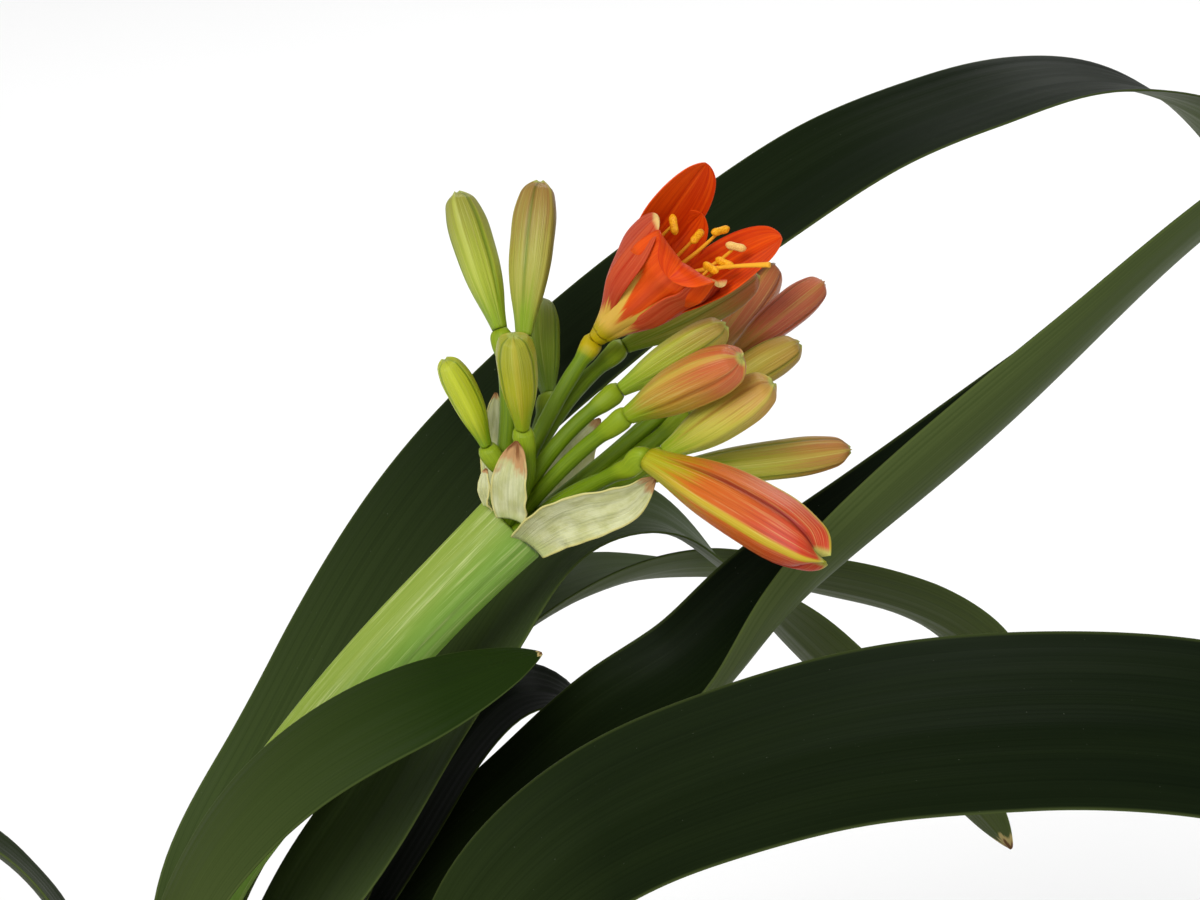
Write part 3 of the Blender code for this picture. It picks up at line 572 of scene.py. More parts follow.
def petal_look():
    look = Look("petal_look", 0.45, 0.12)
    along = look.value("reach")
    side = look.value("side")
    narrow = look.value("narrow")
    middle = look.value("rib")
    streak = look.fibre(9.0, 1.0, 0.3, 4.0, 0.6)
    fine = look.fibre(42.0, 1.0, 0.5, 3.0, 0.6)
    shift = look.ramp(streak, 0.3, 0.7, -0.07, 0.07)
    inner = look.mix(look.ramp(streak, 0.3, 0.7), (0.52, 0.026, 0.0006), (0.72, 0.078, 0.002))
    throat = look.ramp(look.plus(along, shift), 0.22, 0.50)
    inner = look.mix(throat, (0.50, 0.16, 0.003), inner)
    outer = look.mix(look.ramp(streak, 0.3, 0.7), (0.58, 0.042, 0.002), (0.72, 0.085, 0.005))
    outer = look.mix(look.times(middle, 0.5), outer, (0.56, 0.075, 0.025))
    deep = look.mix(look.ramp(streak, 0.3, 0.7), (0.44, 0.030, 0.008), (0.54, 0.085, 0.030))
    outer = look.mix(narrow, outer, deep)
    past = look.maths("SUBTRACT", look.plus(along, shift), look.value("gold"))
    outer = look.mix(look.ramp(past, -0.05, 0.06), (0.70, 0.43, 0.07), outer)
    body = look.mix(side, outer, inner)
    cream = look.times(look.value("cream"), look.ramp(along, 0.945, 0.985))
    body = look.mix(cream, body, (0.70, 0.46, 0.16))
    body = look.mix(look.ramp(fine, 0.5, 0.75, 0.0, 0.12), body, (0.85, 0.20, 0.02))
    body = look.mix(look.ramp(along, 0.02, 0.14), (0.44, 0.33, 0.004), body)
    look.put("Base Color", body)
    look.glow(0.12, (0.0015, 0.0005, 0.0002))
    look.bump(look.plus(streak, look.times(fine, 0.6)), 0.00018, 0.5)
    return look.material


def stamen_look():
    look = Look("stamen_look", 0.5, 0.2)
    grit = look.speckle(2600.0, 2.0)
    thread = look.mix(look.value("reach"), (0.72, 0.26, 0.006), (0.80, 0.38, 0.02))
    anther = look.mix(look.ramp(grit, 0.35, 0.65), (0.70, 0.26, 0.003), (0.88, 0.45, 0.012))
    pale = look.mix(look.ramp(grit, 0.35, 0.65), (0.72, 0.42, 0.10), (0.82, 0.56, 0.18))
    anther = look.mix(look.value("pale"), anther, pale)
    look.put("Base Color", look.mix(look.value("anther"), thread, anther))
    look.glow(0.15, (0.001, 0.0006, 0.0002))
    look.bump(grit, 0.0001, 0.8)
    return look.material


def bract_look():
    look = Look("bract_look", 0.6, 0.1)
    along = look.value("reach")
    vein = look.fibre(9.0, 1.0, 0.30, 3.0, 0.6)
    fine = look.fibre(34.0, 1.0, 0.45, 3.0, 0.65)
    patch = look.fibre(1.4, 1.0, 1.6, 3.0)
    body = look.mix(look.ramp(patch, 0.35, 0.65), (0.46, 0.47, 0.20), (0.60, 0.61, 0.35))
    body = look.mix(look.ramp(vein, 0.5, 0.66, 0.0, 0.5), body, (0.38, 0.40, 0.20))
    body = look.mix(look.ramp(fine, 0.45, 0.7, 0.0, 0.35), body, (0.72, 0.71, 0.46))
    body = look.mix(look.ramp(fine, 0.46, 0.28, 0.0, 0.4), body, (0.42, 0.42, 0.24))
    body = look.mix(look.ramp(along, 0.0, 0.14, 0.5, 0.0), body, (0.38, 0.46, 0.13))
    rim = look.ramp(look.value("rim"), 0.88, 1.0, 0.0, 0.6)
    body = look.mix(rim, body, (0.60, 0.52, 0.15))
    dry = look.plus(look.value("dry"), look.ramp(patch, 0.3, 0.7, -0.2, 0.2))
    body = look.mix(look.ramp(dry, 0.3, 0.6), body, (0.46, 0.26, 0.11))
    body = look.mix(look.ramp(dry, 0.7, 0.95), body, (0.22, 0.09, 0.03))
    look.put("Base Color", body)
    look.glow(0.12, (0.0015, 0.0013, 0.0008))
    look.bump(look.plus(vein, look.times(fine, 0.5)), 0.0004, 0.7)
    return look.material


def clay_look():
    look = Look("clay_look", 0.78, 0.3)
    cloud = look.speckle(16.0, 5.0)
    grit = look.speckle(900.0, 3.0, 0.7)
    body = look.mix(look.ramp(cloud, 0.3, 0.7), (0.34, 0.125, 0.062), (0.47, 0.20, 0.11))
    body = look.mix(look.ramp(grit, 0.58, 0.72, 0.0, 0.4), body, (0.62, 0.36, 0.24))
    height = look.node("ShaderNodeSeparateXYZ", {0: look.place()}).outputs[2]
    bloom = look.speckle(42.0, 4.0, 0.65)
    low = look.ramp(height, 0.0, 0.075, 0.5, 0.0)
    top = look.ramp(height, 0.125, 0.15, 0.0, 0.3)
    salt = look.times(look.ramp(bloom, 0.46, 0.66), look.plus(low, top))
    body = look.mix(salt, body, (0.66, 0.58, 0.50))
    look.put("Base Color", body)
    look.put("Roughness", look.ramp(grit, 0.3, 0.7, 0.7, 0.88))
    look.bump(look.plus(grit, look.times(cloud, 2.0)), 0.0005, 0.6)
    return look.material


def soil_look():
    look = Look("soil_look", 0.92, 0.2)
    crumb = look.speckle(420.0, 4.0, 0.7)
    damp = look.speckle(34.0, 3.0)
    body = look.mix(look.ramp(crumb, 0.35, 0.65), (0.018, 0.011, 0.007), (0.075, 0.048, 0.03))
    body = look.mix(look.ramp(damp, 0.4, 0.65, 0.0, 0.5), body, (0.11, 0.075, 0.048))
    bark = look.mix(look.ramp(crumb, 0.35, 0.65), (0.10, 0.05, 0.025), (0.20, 0.115, 0.06))
    grit = look.mix(look.ramp(crumb, 0.35, 0.65), (0.48, 0.46, 0.42), (0.70, 0.68, 0.64))
    body = look.mix(look.value("bark"), body, bark)
    body = look.mix(look.value("perlite"), body, grit)
    look.put("Base Color", body)
    look.bump(crumb, 0.0009, 0.9)
    return look.material


# Camera, floor and light

def set_stage():
    camera = new_object("camera", bpy.data.cameras.new("camera"))
    camera.data.lens = CAMERA_LENS
    camera.data.sensor_width = CAMERA_SENSOR
    camera.location = CAMERA_AT
    camera.rotation_euler = (math.radians(CAMERA_TILT), 0.0, 0.0)
    bpy.context.scene.camera = camera

    mesh = bpy.data.meshes.new("floor")
    work = bmesh.new()
    bmesh.ops.create_grid(work, x_segments=2, y_segments=2, size=FLOOR_HALF)
    work.to_mesh(mesh)
    work.free()
    floor = new_object("floor", mesh)
    look = Look("floor_look", 0.9, 0.1)
    shade = look.speckle(1.5, 2.0)
    look.put("Base Color", look.mix(shade, (0.90, 0.90, 0.90), (0.93, 0.93, 0.93)))
    mesh.materials.append(look.material)

    world = bpy.data.worlds.new("studio")
    world.use_nodes = True
    shine = world.node_tree.nodes["Background"]
    shine.inputs["Color"].default_value = (1.0, 1.0, 1.0, 1.0)
    shine.inputs["Strength"].default_value = WORLD_STRENGTH
    bpy.context.scene.world = world
    key = new_object("key", bpy.data.lights.new("key", "SUN"))
    key.data.energy = KEY_STRENGTH
    key.data.angle = math.radians(KEY_SPREAD)
    key.rotation_euler = Vector(KEY_FROM).to_track_quat("Z", "Y").to_euler()
    for name, place, size, power in SOFT_LIGHTS:
        light = new_object(name, bpy.data.lights.new(name, "AREA"))
        light.data.shape = "DISK"
        light.data.size = size
        light.data.energy = power
        light.location = place
        direction = Vector(SOFT_AIM) - Vector(place)
        light.rotation_euler = direction.to_track_quat("-Z", "Y").to_euler()
    bpy.context.scene.view_settings.view_transform = "Standard"
    bpy.context.scene.view_settings.look = "None"


set_stage()


# Leaves

def leaf(name, material, rank, foot_side, blade_side, width, tones, dry, route):
    sheath_r = SHEATH_FIRST_R + SHEATH_PITCH * rank
    leaves_at = SHEATH_LEAVES_AT - SHEATH_STEP_DOWN * rank
    turn = math.radians(foot_side)
    foot_x, foot_y = sheath_r * math.cos(turn), sheath_r * math.sin(turn)
    heights = (LEAF_FOOT, 0.5 * (LEAF_FOOT + leaves_at), leaves_at)
    line = [(foot_x, foot_y, z, 0.0, route[0][4]) for z in heights]
    line += route
    fine = smooth_line(line)
    total = fine[2][-1]
    taper = TIP_TAPER * width
    body_places = np.linspace(0.0, total - taper, int((total - taper) / LEAF_ROW))
    tip_places = total - taper * (1.0 - np.linspace(0.0, 1.0, LEAF_TIP_ROWS)[1:]) ** 1.6
    places = np.concatenate([body_places, tip_places])
    stations, facing = read_line(*fine, places)
    first_half = min(0.54 * width, math.radians(SHEATH_MAX_HALF_ANGLE) * sheath_r)
    sheath_length = leaves_at - LEAF_FOOT
    spread = ease((places - sheath_length) / (0.2 * total))
    half = first_half + (0.5 * width - first_half) * ease((places - sheath_length) / (0.35 * total))
    if name in LEAF_WAISTS:
        lost, waist_at, waist_length = LEAF_WAISTS[name]
        half = half * (1.0 - lost * np.exp(-((places - waist_at) / waist_length) ** 2))
    to_tip = np.clip((places - (total - taper)) / taper, 0.0, 1.0)
    half = half * np.clip(1.0 - to_tip ** 2.2, 0.0, 1.0) ** 0.72 + 1.0 - 0.8 * ease((to_tip - 0.8) / 0.2)
    seed = rank + (10.0 if "left" in name else 0.0)
    half *= 1.0 + 0.012 * ripple(places / 45.0, np.zeros(1), seed) * ease(places / 80.0)
    trough = np.radians(stations[:, 4]) * (1.0 - 0.6 * to_tip)
    angle = (first_half / sheath_r) ** (1.0 - spread) * trough ** spread
    side = np.radians(foot_side + (blade_side - foot_side) * spread)
    levels = np.stack([-np.sin(side), np.cos(side), 0.0 * side], axis=1)
    v = across_places(LEAF_ACROSS)
    grid = strip_grid(stations, facing, levels, half, angle, v)
    shape = (len(places), len(v))
    free = ease((places - sheath_length) / RELIEF_STARTS_OVER) * np.clip(half / 12.0, 0.0, 1.0)
    free = free[:, None]
    channel = -CHANNEL_DEEP * (0.55 * np.exp(-(v / 0.05) ** 2) + 0.45 * np.exp(-(v / 0.2) ** 2))
    wave = ripple(places[:, None] / 38.0, 3.0 * np.sign(v)[None, :], seed + 0.5)
    pleat = PLEAT_DEEP * np.cos(v * math.pi * PLEATS)[None, :]
    relief = free * (channel[None, :] + pleat + MARGIN_WAVE * wave * (np.abs(v) ** 3)[None, :])
    thick = LEAF_MARGIN + (LEAF_MIDDLE - LEAF_MARGIN) * (1.0 - v * v)
    thick = np.broadcast_to(thick, shape) * (1.0 - 0.45 * to_tip)[:, None]
    grain = grid_of(shape, v, seed, places[:, None] / 100.0 + seed)
    reach = np.clip(places / YOUNG_LENGTH, 0.0, 1.0)[:, None]
    withered = np.clip((places - (total - dry)) / dry, 0.0, 1.0)[:, None] if dry else 0.0
    body = Body()
    tone = np.interp(places / total, TONE_AT, tones)[:, None]
    # How far the underside is darkened as painted shade, along the leaf
    dusk = np.interp(places / total, TONE_AT, UNDER_PAINTED_SHADE.get(name, (0.0, 0.0, 0.0)))[:, None]
    body.strip(grid, relief, thick, grain, reach=reach, tone=tone, dusk=dusk, dry=withered)
    return add_piece(name + "_fine", body.mesh(name + "_fine"), material, name)


LEAVES = [
    ("leaf_right_1", 0, 64, 42, 35, (0.45, 0.04, 0.0), 3, [
        (5, 22, 247, 0, 17), (20, 31, 278, 3, 17), (44, 46, 319, 3, 17), (71, 59, 354, 3, 17),
        (101, 73, 380, 5, 17), (144, 95, 408, 6, 17), (176, 108, 425, 5, 17), (203, 119, 433, 5, 17),
        (226, 128, 437, 4, 17), (251, 140, 434, 4, 17), (277, 153, 420, 0, 17),
        (303, 167, 391, -2, 17), (324, 178, 357, -2, 17)]),
    ("leaf_right_2", 1, 8, 25, 37, (0.5, 0.3, 0.75), 8, [
        (35, 7, 255, 5, 18), (51, 17, 277, 4, 18), (65, 28, 299, 4, 18), (79, 38, 318, 2, 18),
        (96, 53, 335, 0, 18), (117, 66, 336, 4, 18), (130, 75, 326, 6, 18), (155, 85, 299, -12, 18),
        (190, 85, 263, -16, 18), (213, 81, 241, -16, 18), (220, 78, 233, -14, 18)]),
    ("leaf_right_3", 2, 30, 30, 34, (0.2, 0.15, 0.95), 3, [
        (38, 27, 244, -4, 20), (53, 40, 277, -4, 20), (73, 59, 300, -6, 30), (103, 82, 309, -14, 44),
        (128, 111, 302, -22, 40), (145, 120, 298, -26, 26), (177, 125, 291, -30, 20),
        (209, 127, 277, -20, 20), (232, 120, 253, -10, 20)]),
    ("leaf_right_4", 3, 24, 24, 27, (0.1, 0.02, 0.02), 2, [
        (43, 25, 241, 4, 20), (58, 40, 262, 4, 20), (73, 57, 279, 2, 20), (86, 67, 285, 4, 20),
        (99, 71, 280, 0, 20), (111, 72, 266, -9, 20), (124, 68, 249, -12, 20)]),
    ("leaf_right_5", 4, 22, 12, 46, (0.12, 0.0, 0.0), 3, [
        (57, 19, 241, 8, 24), (88, 20, 272, 8, 26), (113, 20, 294, 8, 40), (132, 23, 305, 5, 64),
        (148, 31, 319, -3, 78), (175, 42, 340, -17, 80), (210, 60, 364, -24, 70),
        (237, 76, 385, -26, 46), (264, 90, 406, -27, 34), (305, 104, 428, -27, 30),
        (348, 112, 436, -26, 30), (392, 116, 426, -24, 30)]),
    ("leaf_right_6", 5, -32, -8, 43, (0.3, 0.05, 0.0), 3, [
        (58, -30, 224, 20, 16), (79, -30, 263, 34, 16), (96, -26, 281, 40, 16), (132, -34, 306, 41, 16),
        (166, -43, 321, 44, 16), (200, -51, 329, 43, 16), (244, -59, 331, 40, 16),
        (286, -65, 318, 38, 16), (315, -69, 292, 38, 16)]),
    ("leaf_right_7", 6, 8, 8, 42, (0.3, 0.05, 0.0), 5, [
        (72, 10, 196, 0, 18), (110, 15, 206, 0, 18), (150, 20, 194, 0, 18), (184, 26, 160, 0, 18),
        (204, 30, 118, 0, 18)]),
    ("leaf_left_1", 0, 225, 225, 24, (0.62, 0.6, 0.12), 2, [
        (-2, -19, 252, -2, 16), (10.5, -19, 279, -2, 16), (30, -19, 302, 4, 16), (53, -18, 317, 10, 16),
        (92, -15, 332, -6, 16)]),
    ("leaf_left_2", 1, 186, 186, 26, (0.4, 0.2, 0.1), 2, [
        (-24, 3, 228, 6, 14), (-34, 9, 250, 12, 14), (-48, 18, 261, 22, 14), (-72, 34, 262, 22, 14),
        (-104, 56, 244, 10, 14), (-126, 72, 212, 0, 14)]),
    ("leaf_left_3", 2, 206, 206, 42, (0.4, 0.05, 0.0), 4, [
        (-42, -16, 222, 0, 20), (-84, -34, 258, 0, 20), (-140, -56, 276, 0, 20),
        (-198, -78, 262, 0, 20), (-242, -96, 220, 0, 20), (-262, -104, 176, 0, 20)]),
    ("leaf_left_4", 3, 174, 174, 40, (0.35, 0.05, 0.0), 4, [
        (-44, 6, 214, 0, 20), (-88, 12, 236, 0, 20), (-140, 18, 244, 0, 20),
        (-192, 24, 226, 0, 20), (-230, 28, 186, 0, 20)]),
    ("leaf_left_5", 4, 214, 214, 44, (0.35, 0.08, 0.0), 6, [
        (-52, -32, 200, 0, 20), (-96, -62, 216, 0, 20), (-142, -92, 206, 0, 20),
        (-178, -118, 170, 0, 20), (-196, -130, 128, 0, 20)]),
    ("leaf_left_6", 5, 184, 184, 42, (0.35, 0.1, 0.05), 8, [
        (-66, -4, 186, 0, 20), (-112, -8, 190, 0, 20), (-152, -12, 164, 0, 20),
        (-178, -16, 122, 0, 20)]),
]
leaf_green = leaf_look()
for row in LEAVES:
    leaf(row[0], leaf_green, *row[1:])


# Stalk, flower stems and ovaries

FLORETS = [
    ("a", (82, 32, 393), (81, 35, 398), (70, 51, 429), 5.1, 0.0, -17),
    ("b", (87, 33, 391), (87, 36, 396), (91, 54, 431), 5.4, 0.0, 43),
    ("c", (81, 18, 368), (78, 19, 373), (68, 18, 396), 3.9, 0.0, -5),
    ("d", (88, 15, 373), (87, 15, 379), (85, 7, 406), 4.9, 0.0, 0),
    ("e", (92, 36, 376), (93, 40, 379), (91, 63, 397), 4.6, 0.0, 0),
    ("g", (107, 42, 387), (112, 46, 390), (146, 57, 406), 5.0, 0.0, -40),
    ("h", (105, 25, 381), (111, 27, 385), (137, 27, 402), 4.8, 0.0, -30),
    ("i", (107, 18, 377), (113, 17, 382), (140, 1, 402), 6.2, 0.0, -30),
    ("j", (132, 59, 380), (135, 64, 382), (152, 86, 399), 4.6, 0.0, -20),
    ("k", (136, 42, 386), (140, 44, 389), (163, 59, 403), 4.7, 0.0, 0),
    ("l", (123, 31, 373), (128, 32, 377), (156, 40, 393), 4.9, 0.0, -15),
    ("m", (117, 15, 369), (122, 14, 373), (148, 9, 393), 5.7, 0.0, 30),
    ("n", (116, 22, 365), (122, 23, 365), (169, 33, 367), 5.0, 0.0, 0),
    ("o", (110.5, 6, 371), (117.5, 0.5, 376.5), (158, -30, 363), 7.8, 1.6, 27),
]
FLOWER_OVARY = ((102, 35, 391), (105, 37, 395))
FLOWER_AXIS = unit((0.623, -0.264, 0.737))
FLOWER_UP = np.array([-0.695, 0.246, 0.676])
FLOWER_UP = unit(FLOWER_UP - FLOWER_AXIS * FLOWER_UP.dot(FLOWER_AXIS))
FLOWER_NEAR = np.cross(FLOWER_AXIS, FLOWER_UP)
FLOWER_BASE = np.asarray(FLOWER_OVARY[1], float) + FLOWER_AXIS * GAP


def in_flower(along, up=0.0, near=0.0):
    """A place in the flower, along its axis and out from it."""
    return FLOWER_BASE + FLOWER_AXIS * along + FLOWER_UP * up + FLOWER_NEAR * near


def frames(tangents, start):
    """Two directions across each tangent, carried along without twist."""
    wide = unit(start - tangents[0] * np.dot(start, tangents[0]))
    wides = []
    for tangent in tangents:
        wide = unit(wide - tangent * np.dot(wide, tangent))
        wides.append(wide)
    wides = np.array(wides)
    return wides, np.cross(tangents, wides)


def tube(body, points, radii, rings, sides, lobe=None, **values):
    """A round tube whose radius follows a smooth curve along the points."""
    rows = np.column_stack([np.asarray(points, float), radii])
    line = smooth_line(rows, 301)
    places = np.linspace(0.0, line[2][-1], rings)
    stations, facing = read_line(*line, places)
    wide, deep = frames(facing, np.array([0.31, 0.93, 0.17]))
    turn = turns(sides)
    radius = stations[:, 3][:, None] * np.ones(sides)
    share = places / places[-1]
    if lobe is not None:
        radius = radius * (1.0 + lobe(share)[:, None] * np.cos(3.0 * turn)[None, :])
    circle = (wide[:, None, :] * np.cos(turn)[None, :, None] + deep[:, None, :] * np.sin(turn)[None, :, None])
    shape = stations[:, None, :3] + circle * radius[..., None]
    grain = grid_of(radius.shape, np.cos(turn), np.sin(turn), places[:, None] / 10.0)
    grain = grain + np.array([0.0, 0.0, rows[0, 0] + rows[-1, 2]])
    spread = {key: (value(share)[:, None] if callable(value) else value) for key, value in values.items()}
    body.rings(shape, grain, **spread)


def stalk():
    body = Body()
    rows = [(*point, size) for point, size in zip(SCAPE_ROUTE, SCAPE_SIZE)]
    line = smooth_line(rows)
    total = line[2][-1]
    crown = total - SCAPE_EDGE * (1.0 - np.linspace(0.0, 1.0, 7)[1:]) ** 1.8
    places = np.concatenate([np.linspace(0.0, total - SCAPE_EDGE, SCAPE_RINGS), crown])
    stations, facing = read_line(*line, places)
    wide = np.array([1.0, 0.0, 0.0]) - facing[:, :1] * facing
    wide /= np.linalg.norm(wide, axis=1)[:, None]
    deep = np.cross(facing, wide)
    turn = turns(SCAPE_SIDES)
    edge = 1.0 + SCAPE_SQUARED * np.cos(4.0 * turn)
    edge = edge + 0.012 * np.cos(11.0 * turn + 0.4) + 0.008 * np.cos(17.0 * turn)
    ridge = sum(high * np.exp(-((turn - at) / wide_as) ** 2) for high, at, wide_as in SCAPE_RIDGES)
    uneven = 0.012 * ripple(places[:, None] / 22.0, turn[None, :], 3.3)
    size = stations[:, 3][:, None] * (edge + ridge)[None, :] * (1.0 + uneven)
    to_end = np.clip((places - (total - SCAPE_EDGE)) / SCAPE_EDGE, 0.0, 1.0)
    size = size * (1.0 - 0.09 * (1.0 - np.sqrt(1.0 - to_end ** 2)))[:, None]
    rings = (stations[:, None, :3] + wide[:, None, :] * (0.5 * SCAPE_WIDE * size * np.cos(turn))[..., None]
             + deep[:, None, :] * (0.5 * SCAPE_THICK * size * np.sin(turn))[..., None])
    grain = grid_of(size.shape, np.cos(turn), np.sin(turn), places[:, None] / 10.0)
    # shade runs from -1 on the stalk's left side to 1 on its right, for the painted shade in scape_look
    body.rings(rings, grain, stem=0.0, ovary=0.0, gold=0.0, shade=np.cos(turn)[None, :])
    florets = [(letter, first, last, unit(np.subtract(tip, last)))
               for letter, first, last, tip, *_ in FLORETS]
    florets.append(("flower", *FLOWER_OVARY, FLOWER_AXIS))
    for letter, first, last, bud_along in florets:
        first, last = np.asarray(first, float), np.asarray(last, float)
        aside = SEAT_SPREAD * SEAT_WIDE.dot(first - UMBEL_SEAT)
        back = SEAT_SPREAD * SEAT_DEEP.dot(first - UMBEL_SEAT)
        start = (UMBEL_SEAT + SEAT_WIDE * min(max(aside, -SEAT_WIDE_MAX), SEAT_WIDE_MAX)
                 + SEAT_DEEP * min(max(back, -SEAT_DEEP_MAX), SEAT_DEEP_MAX))
        along = unit(last - first)
        reach = np.linalg.norm(first - start)
        bow = first - along * STEM_BOW * reach
        points, radii = [], []
        for k in range(STEM_POINTS):
            u = k / STEM_POINTS
            points.append((1 - u) ** 2 * start + 2 * u * (1 - u) * bow + u * u * first)
            radii.append(STEM_R)
        size = np.linalg.norm(last - first)
        for u, r in OVARY_BULGE:
            points.append(first + along * size * u)
            radii.append(OVARY_R * r)
        for back, r in OVARY_NECK:
            points.append(last - bud_along * back)
            radii.append(OVARY_R * r)
        length = chord_knots(points)[-1]
        begin = 1.0 - 1.25 * size / length
        gold = 1.0 if letter == "flower" else 0.0
        tube(body, points, radii, STEM_RINGS, STEM_SIDES,
             lobe=lambda s, b=begin: 0.05 * ease((s - b) / (1.0 - b) * 2.0),
             stem=1.0, ovary=lambda s, b=begin: ease((s - b) / (1.0 - b) * 2.5),
             gold=lambda s, b=begin, g=gold: g * ease((s - b) / (1.0 - b) * 2.0), shade=0.0)
    return add_piece("scape_fine", body.mesh("scape_fine"), scape_look(), "scape")


stalk()


# Buds

LIME_SEAM = (0.45, 0.62, 0.20)
BLUSH_SEAM = (0.66, 0.50, 0.30)
BUD_COLOURS = {
    "a": ((0.22, 0.34, 0.006), (0.36, 0.42, 0.035), (0.28, 0.28, 0.030), (0.48, 0.52, 0.09), 0.4, LIME_SEAM),
    "b": ((0.22, 0.33, 0.010), (0.36, 0.35, 0.055), (0.28, 0.15, 0.030), (0.40, 0.38, 0.05), 0.4, LIME_SEAM),
    "c": ((0.20, 0.34, 0.003), (0.44, 0.50, 0.010), (0.42, 0.47, 0.020), (0.54, 0.58, 0.04), 0.4, LIME_SEAM),
    "d": ((0.26, 0.35, 0.003), (0.38, 0.38, 0.008), (0.32, 0.33, 0.020), (0.46, 0.38, 0.03), 0.5, LIME_SEAM),
    "e": ((0.15, 0.25, 0.004), (0.20, 0.29, 0.012), (0.19, 0.23, 0.015), (0.28, 0.34, 0.03), 0.3, LIME_SEAM),
    "g": ((0.22, 0.32, 0.008), (0.36, 0.36, 0.045), (0.44, 0.13, 0.030), (0.40, 0.38, 0.06), 0.3, LIME_SEAM),
    "h": ((0.24, 0.36, 0.006), (0.36, 0.40, 0.030), (0.38, 0.26, 0.040), (0.42, 0.46, 0.05), 0.4, LIME_SEAM),
    "i": ((0.26, 0.37, 0.005), (0.46, 0.27, 0.030), (0.50, 0.11, 0.030), (0.50, 0.40, 0.05), 0.5, BLUSH_SEAM),
    "j": ((0.40, 0.22, 0.03), (0.54, 0.15, 0.06), (0.52, 0.15, 0.05), (0.42, 0.26, 0.05), 0.4, BLUSH_SEAM),
    "k": ((0.38, 0.18, 0.03), (0.50, 0.10, 0.045), (0.50, 0.12, 0.045), (0.44, 0.26, 0.05), 0.4, BLUSH_SEAM),
    "l": ((0.22, 0.26, 0.01), (0.38, 0.31, 0.030), (0.40, 0.24, 0.035), (0.40, 0.36, 0.05), 0.3, LIME_SEAM),
    "m": ((0.26, 0.36, 0.005), (0.50, 0.46, 0.060), (0.50, 0.27, 0.050), (0.46, 0.46, 0.05), 0.4, BLUSH_SEAM),
    "n": ((0.20, 0.33, 0.004), (0.40, 0.38, 0.035), (0.42, 0.17, 0.035), (0.44, 0.42, 0.05), 0.4, LIME_SEAM),
    "o": ((0.36, 0.34, 0.002), (0.54, 0.11, 0.006), (0.50, 0.040, 0.010), (0.50, 0.36, 0.02), 0.95,
          (0.42, 0.14, 0.20)),
}


def bud(letter, base, tip, half_width, open_tip, keel_at):
    base, tip = np.asarray(base, float), np.asarray(tip, float)
    along = unit(tip - base)
    across = unit(np.cross(along, (0.3, 1.0, 0.2)))
    other = np.cross(along, across)
    spin = math.atan2(other.dot(NEAR_SIDE), across.dot(NEAR_SIDE)) + math.radians(keel_at)
    across, other = (across * math.cos(spin) + other * math.sin(spin),
                     other * math.cos(spin) - across * math.sin(spin))
    length = np.linalg.norm(tip - base)
    share = crowd_tip(0.14, BUD_RINGS, BUD_TIP_RINGS, 1.9)
    turn = turns(BUD_AROUND)
    size = np.clip(spline(BUD_LEVELS, BUD_SIZES, share)[:, 0], 0.05, 1.1)
    rise = ease((share - 0.06) / 0.2)[:, None]
    folded = (turn[None, :] % (math.tau / 3.0))
    keel_gap = np.minimum(folded, math.tau / 3.0 - folded)
    seam_gap = math.pi / 3.0 - keel_gap
    seam = np.exp(-(seam_gap / SEAM_WIDE) ** 2)
    keel = np.exp(-(keel_gap / KEEL_WIDE) ** 2)
    opening = open_tip * ease((share - BUD_OPENS_AT) / (1.0 - BUD_OPENS_AT))[:, None]
    ribs = 1.0 + BUD_RIB * np.cos(3.0 * turn)[None, :] + 0.4 * BUD_RIB * np.cos(6.0 * turn)[None, :]
    ribs = ribs + rise * (KEEL_HIGH * keel - SEAM_DEEP * seam - 0.13 * opening * seam)
    seed = ord(letter) * 0.37
    ribs = ribs + 0.012 * ripple(share[:, None] * 5.0, turn[None, :] * 1.3, seed)
    radius = half_width * size[:, None] * ribs
    sideways = across * math.cos(seed * 5.0) + other * math.sin(seed * 5.0)
    sway = BUD_SWAY * np.sin(math.pi * share)[:, None, None] * sideways
    reach = share[:, None] * length + opening * np.cos(3.0 * turn)[None, :]
    reach = reach + 0.5 * ease((share - 0.93) / 0.07)[:, None] * (keel - 0.4)
    places = (base + along * reach[..., None] + sway
              + across * (radius * np.cos(turn))[..., None] + other * (radius * np.sin(turn))[..., None])
    grain = grid_of(radius.shape, np.cos(turn) + seed, np.sin(turn), share[:, None] * length / 10.0)
    body = Body()
    body.rings(places, grain, reach=share[:, None], keel=keel, seam=np.exp(-(seam_gap / 0.11) ** 2) * rise)
    if open_tip:
        start = tip - along * 3.0 + other * 0.6
        peek = [start, start + along * 3.0, start + along * 4.6 + across * 0.5]
        tube(body, peek, (0.5, 0.45, 0.5), 16, 10, reach=0.0, keel=0.0, seam=0.0)
    material = bud_look("bud_look_" + letter, *BUD_COLOURS[letter])
    name = "bud_" + letter + "_fine"
    return add_piece(name, body.mesh(name), material, "bud_" + letter)


for letter, _, last, tip, *form in FLORETS:
    last = np.asarray(last, float)
    bud(letter, last + unit(np.subtract(tip, last)) * GAP, tip, *form)


# Open flower

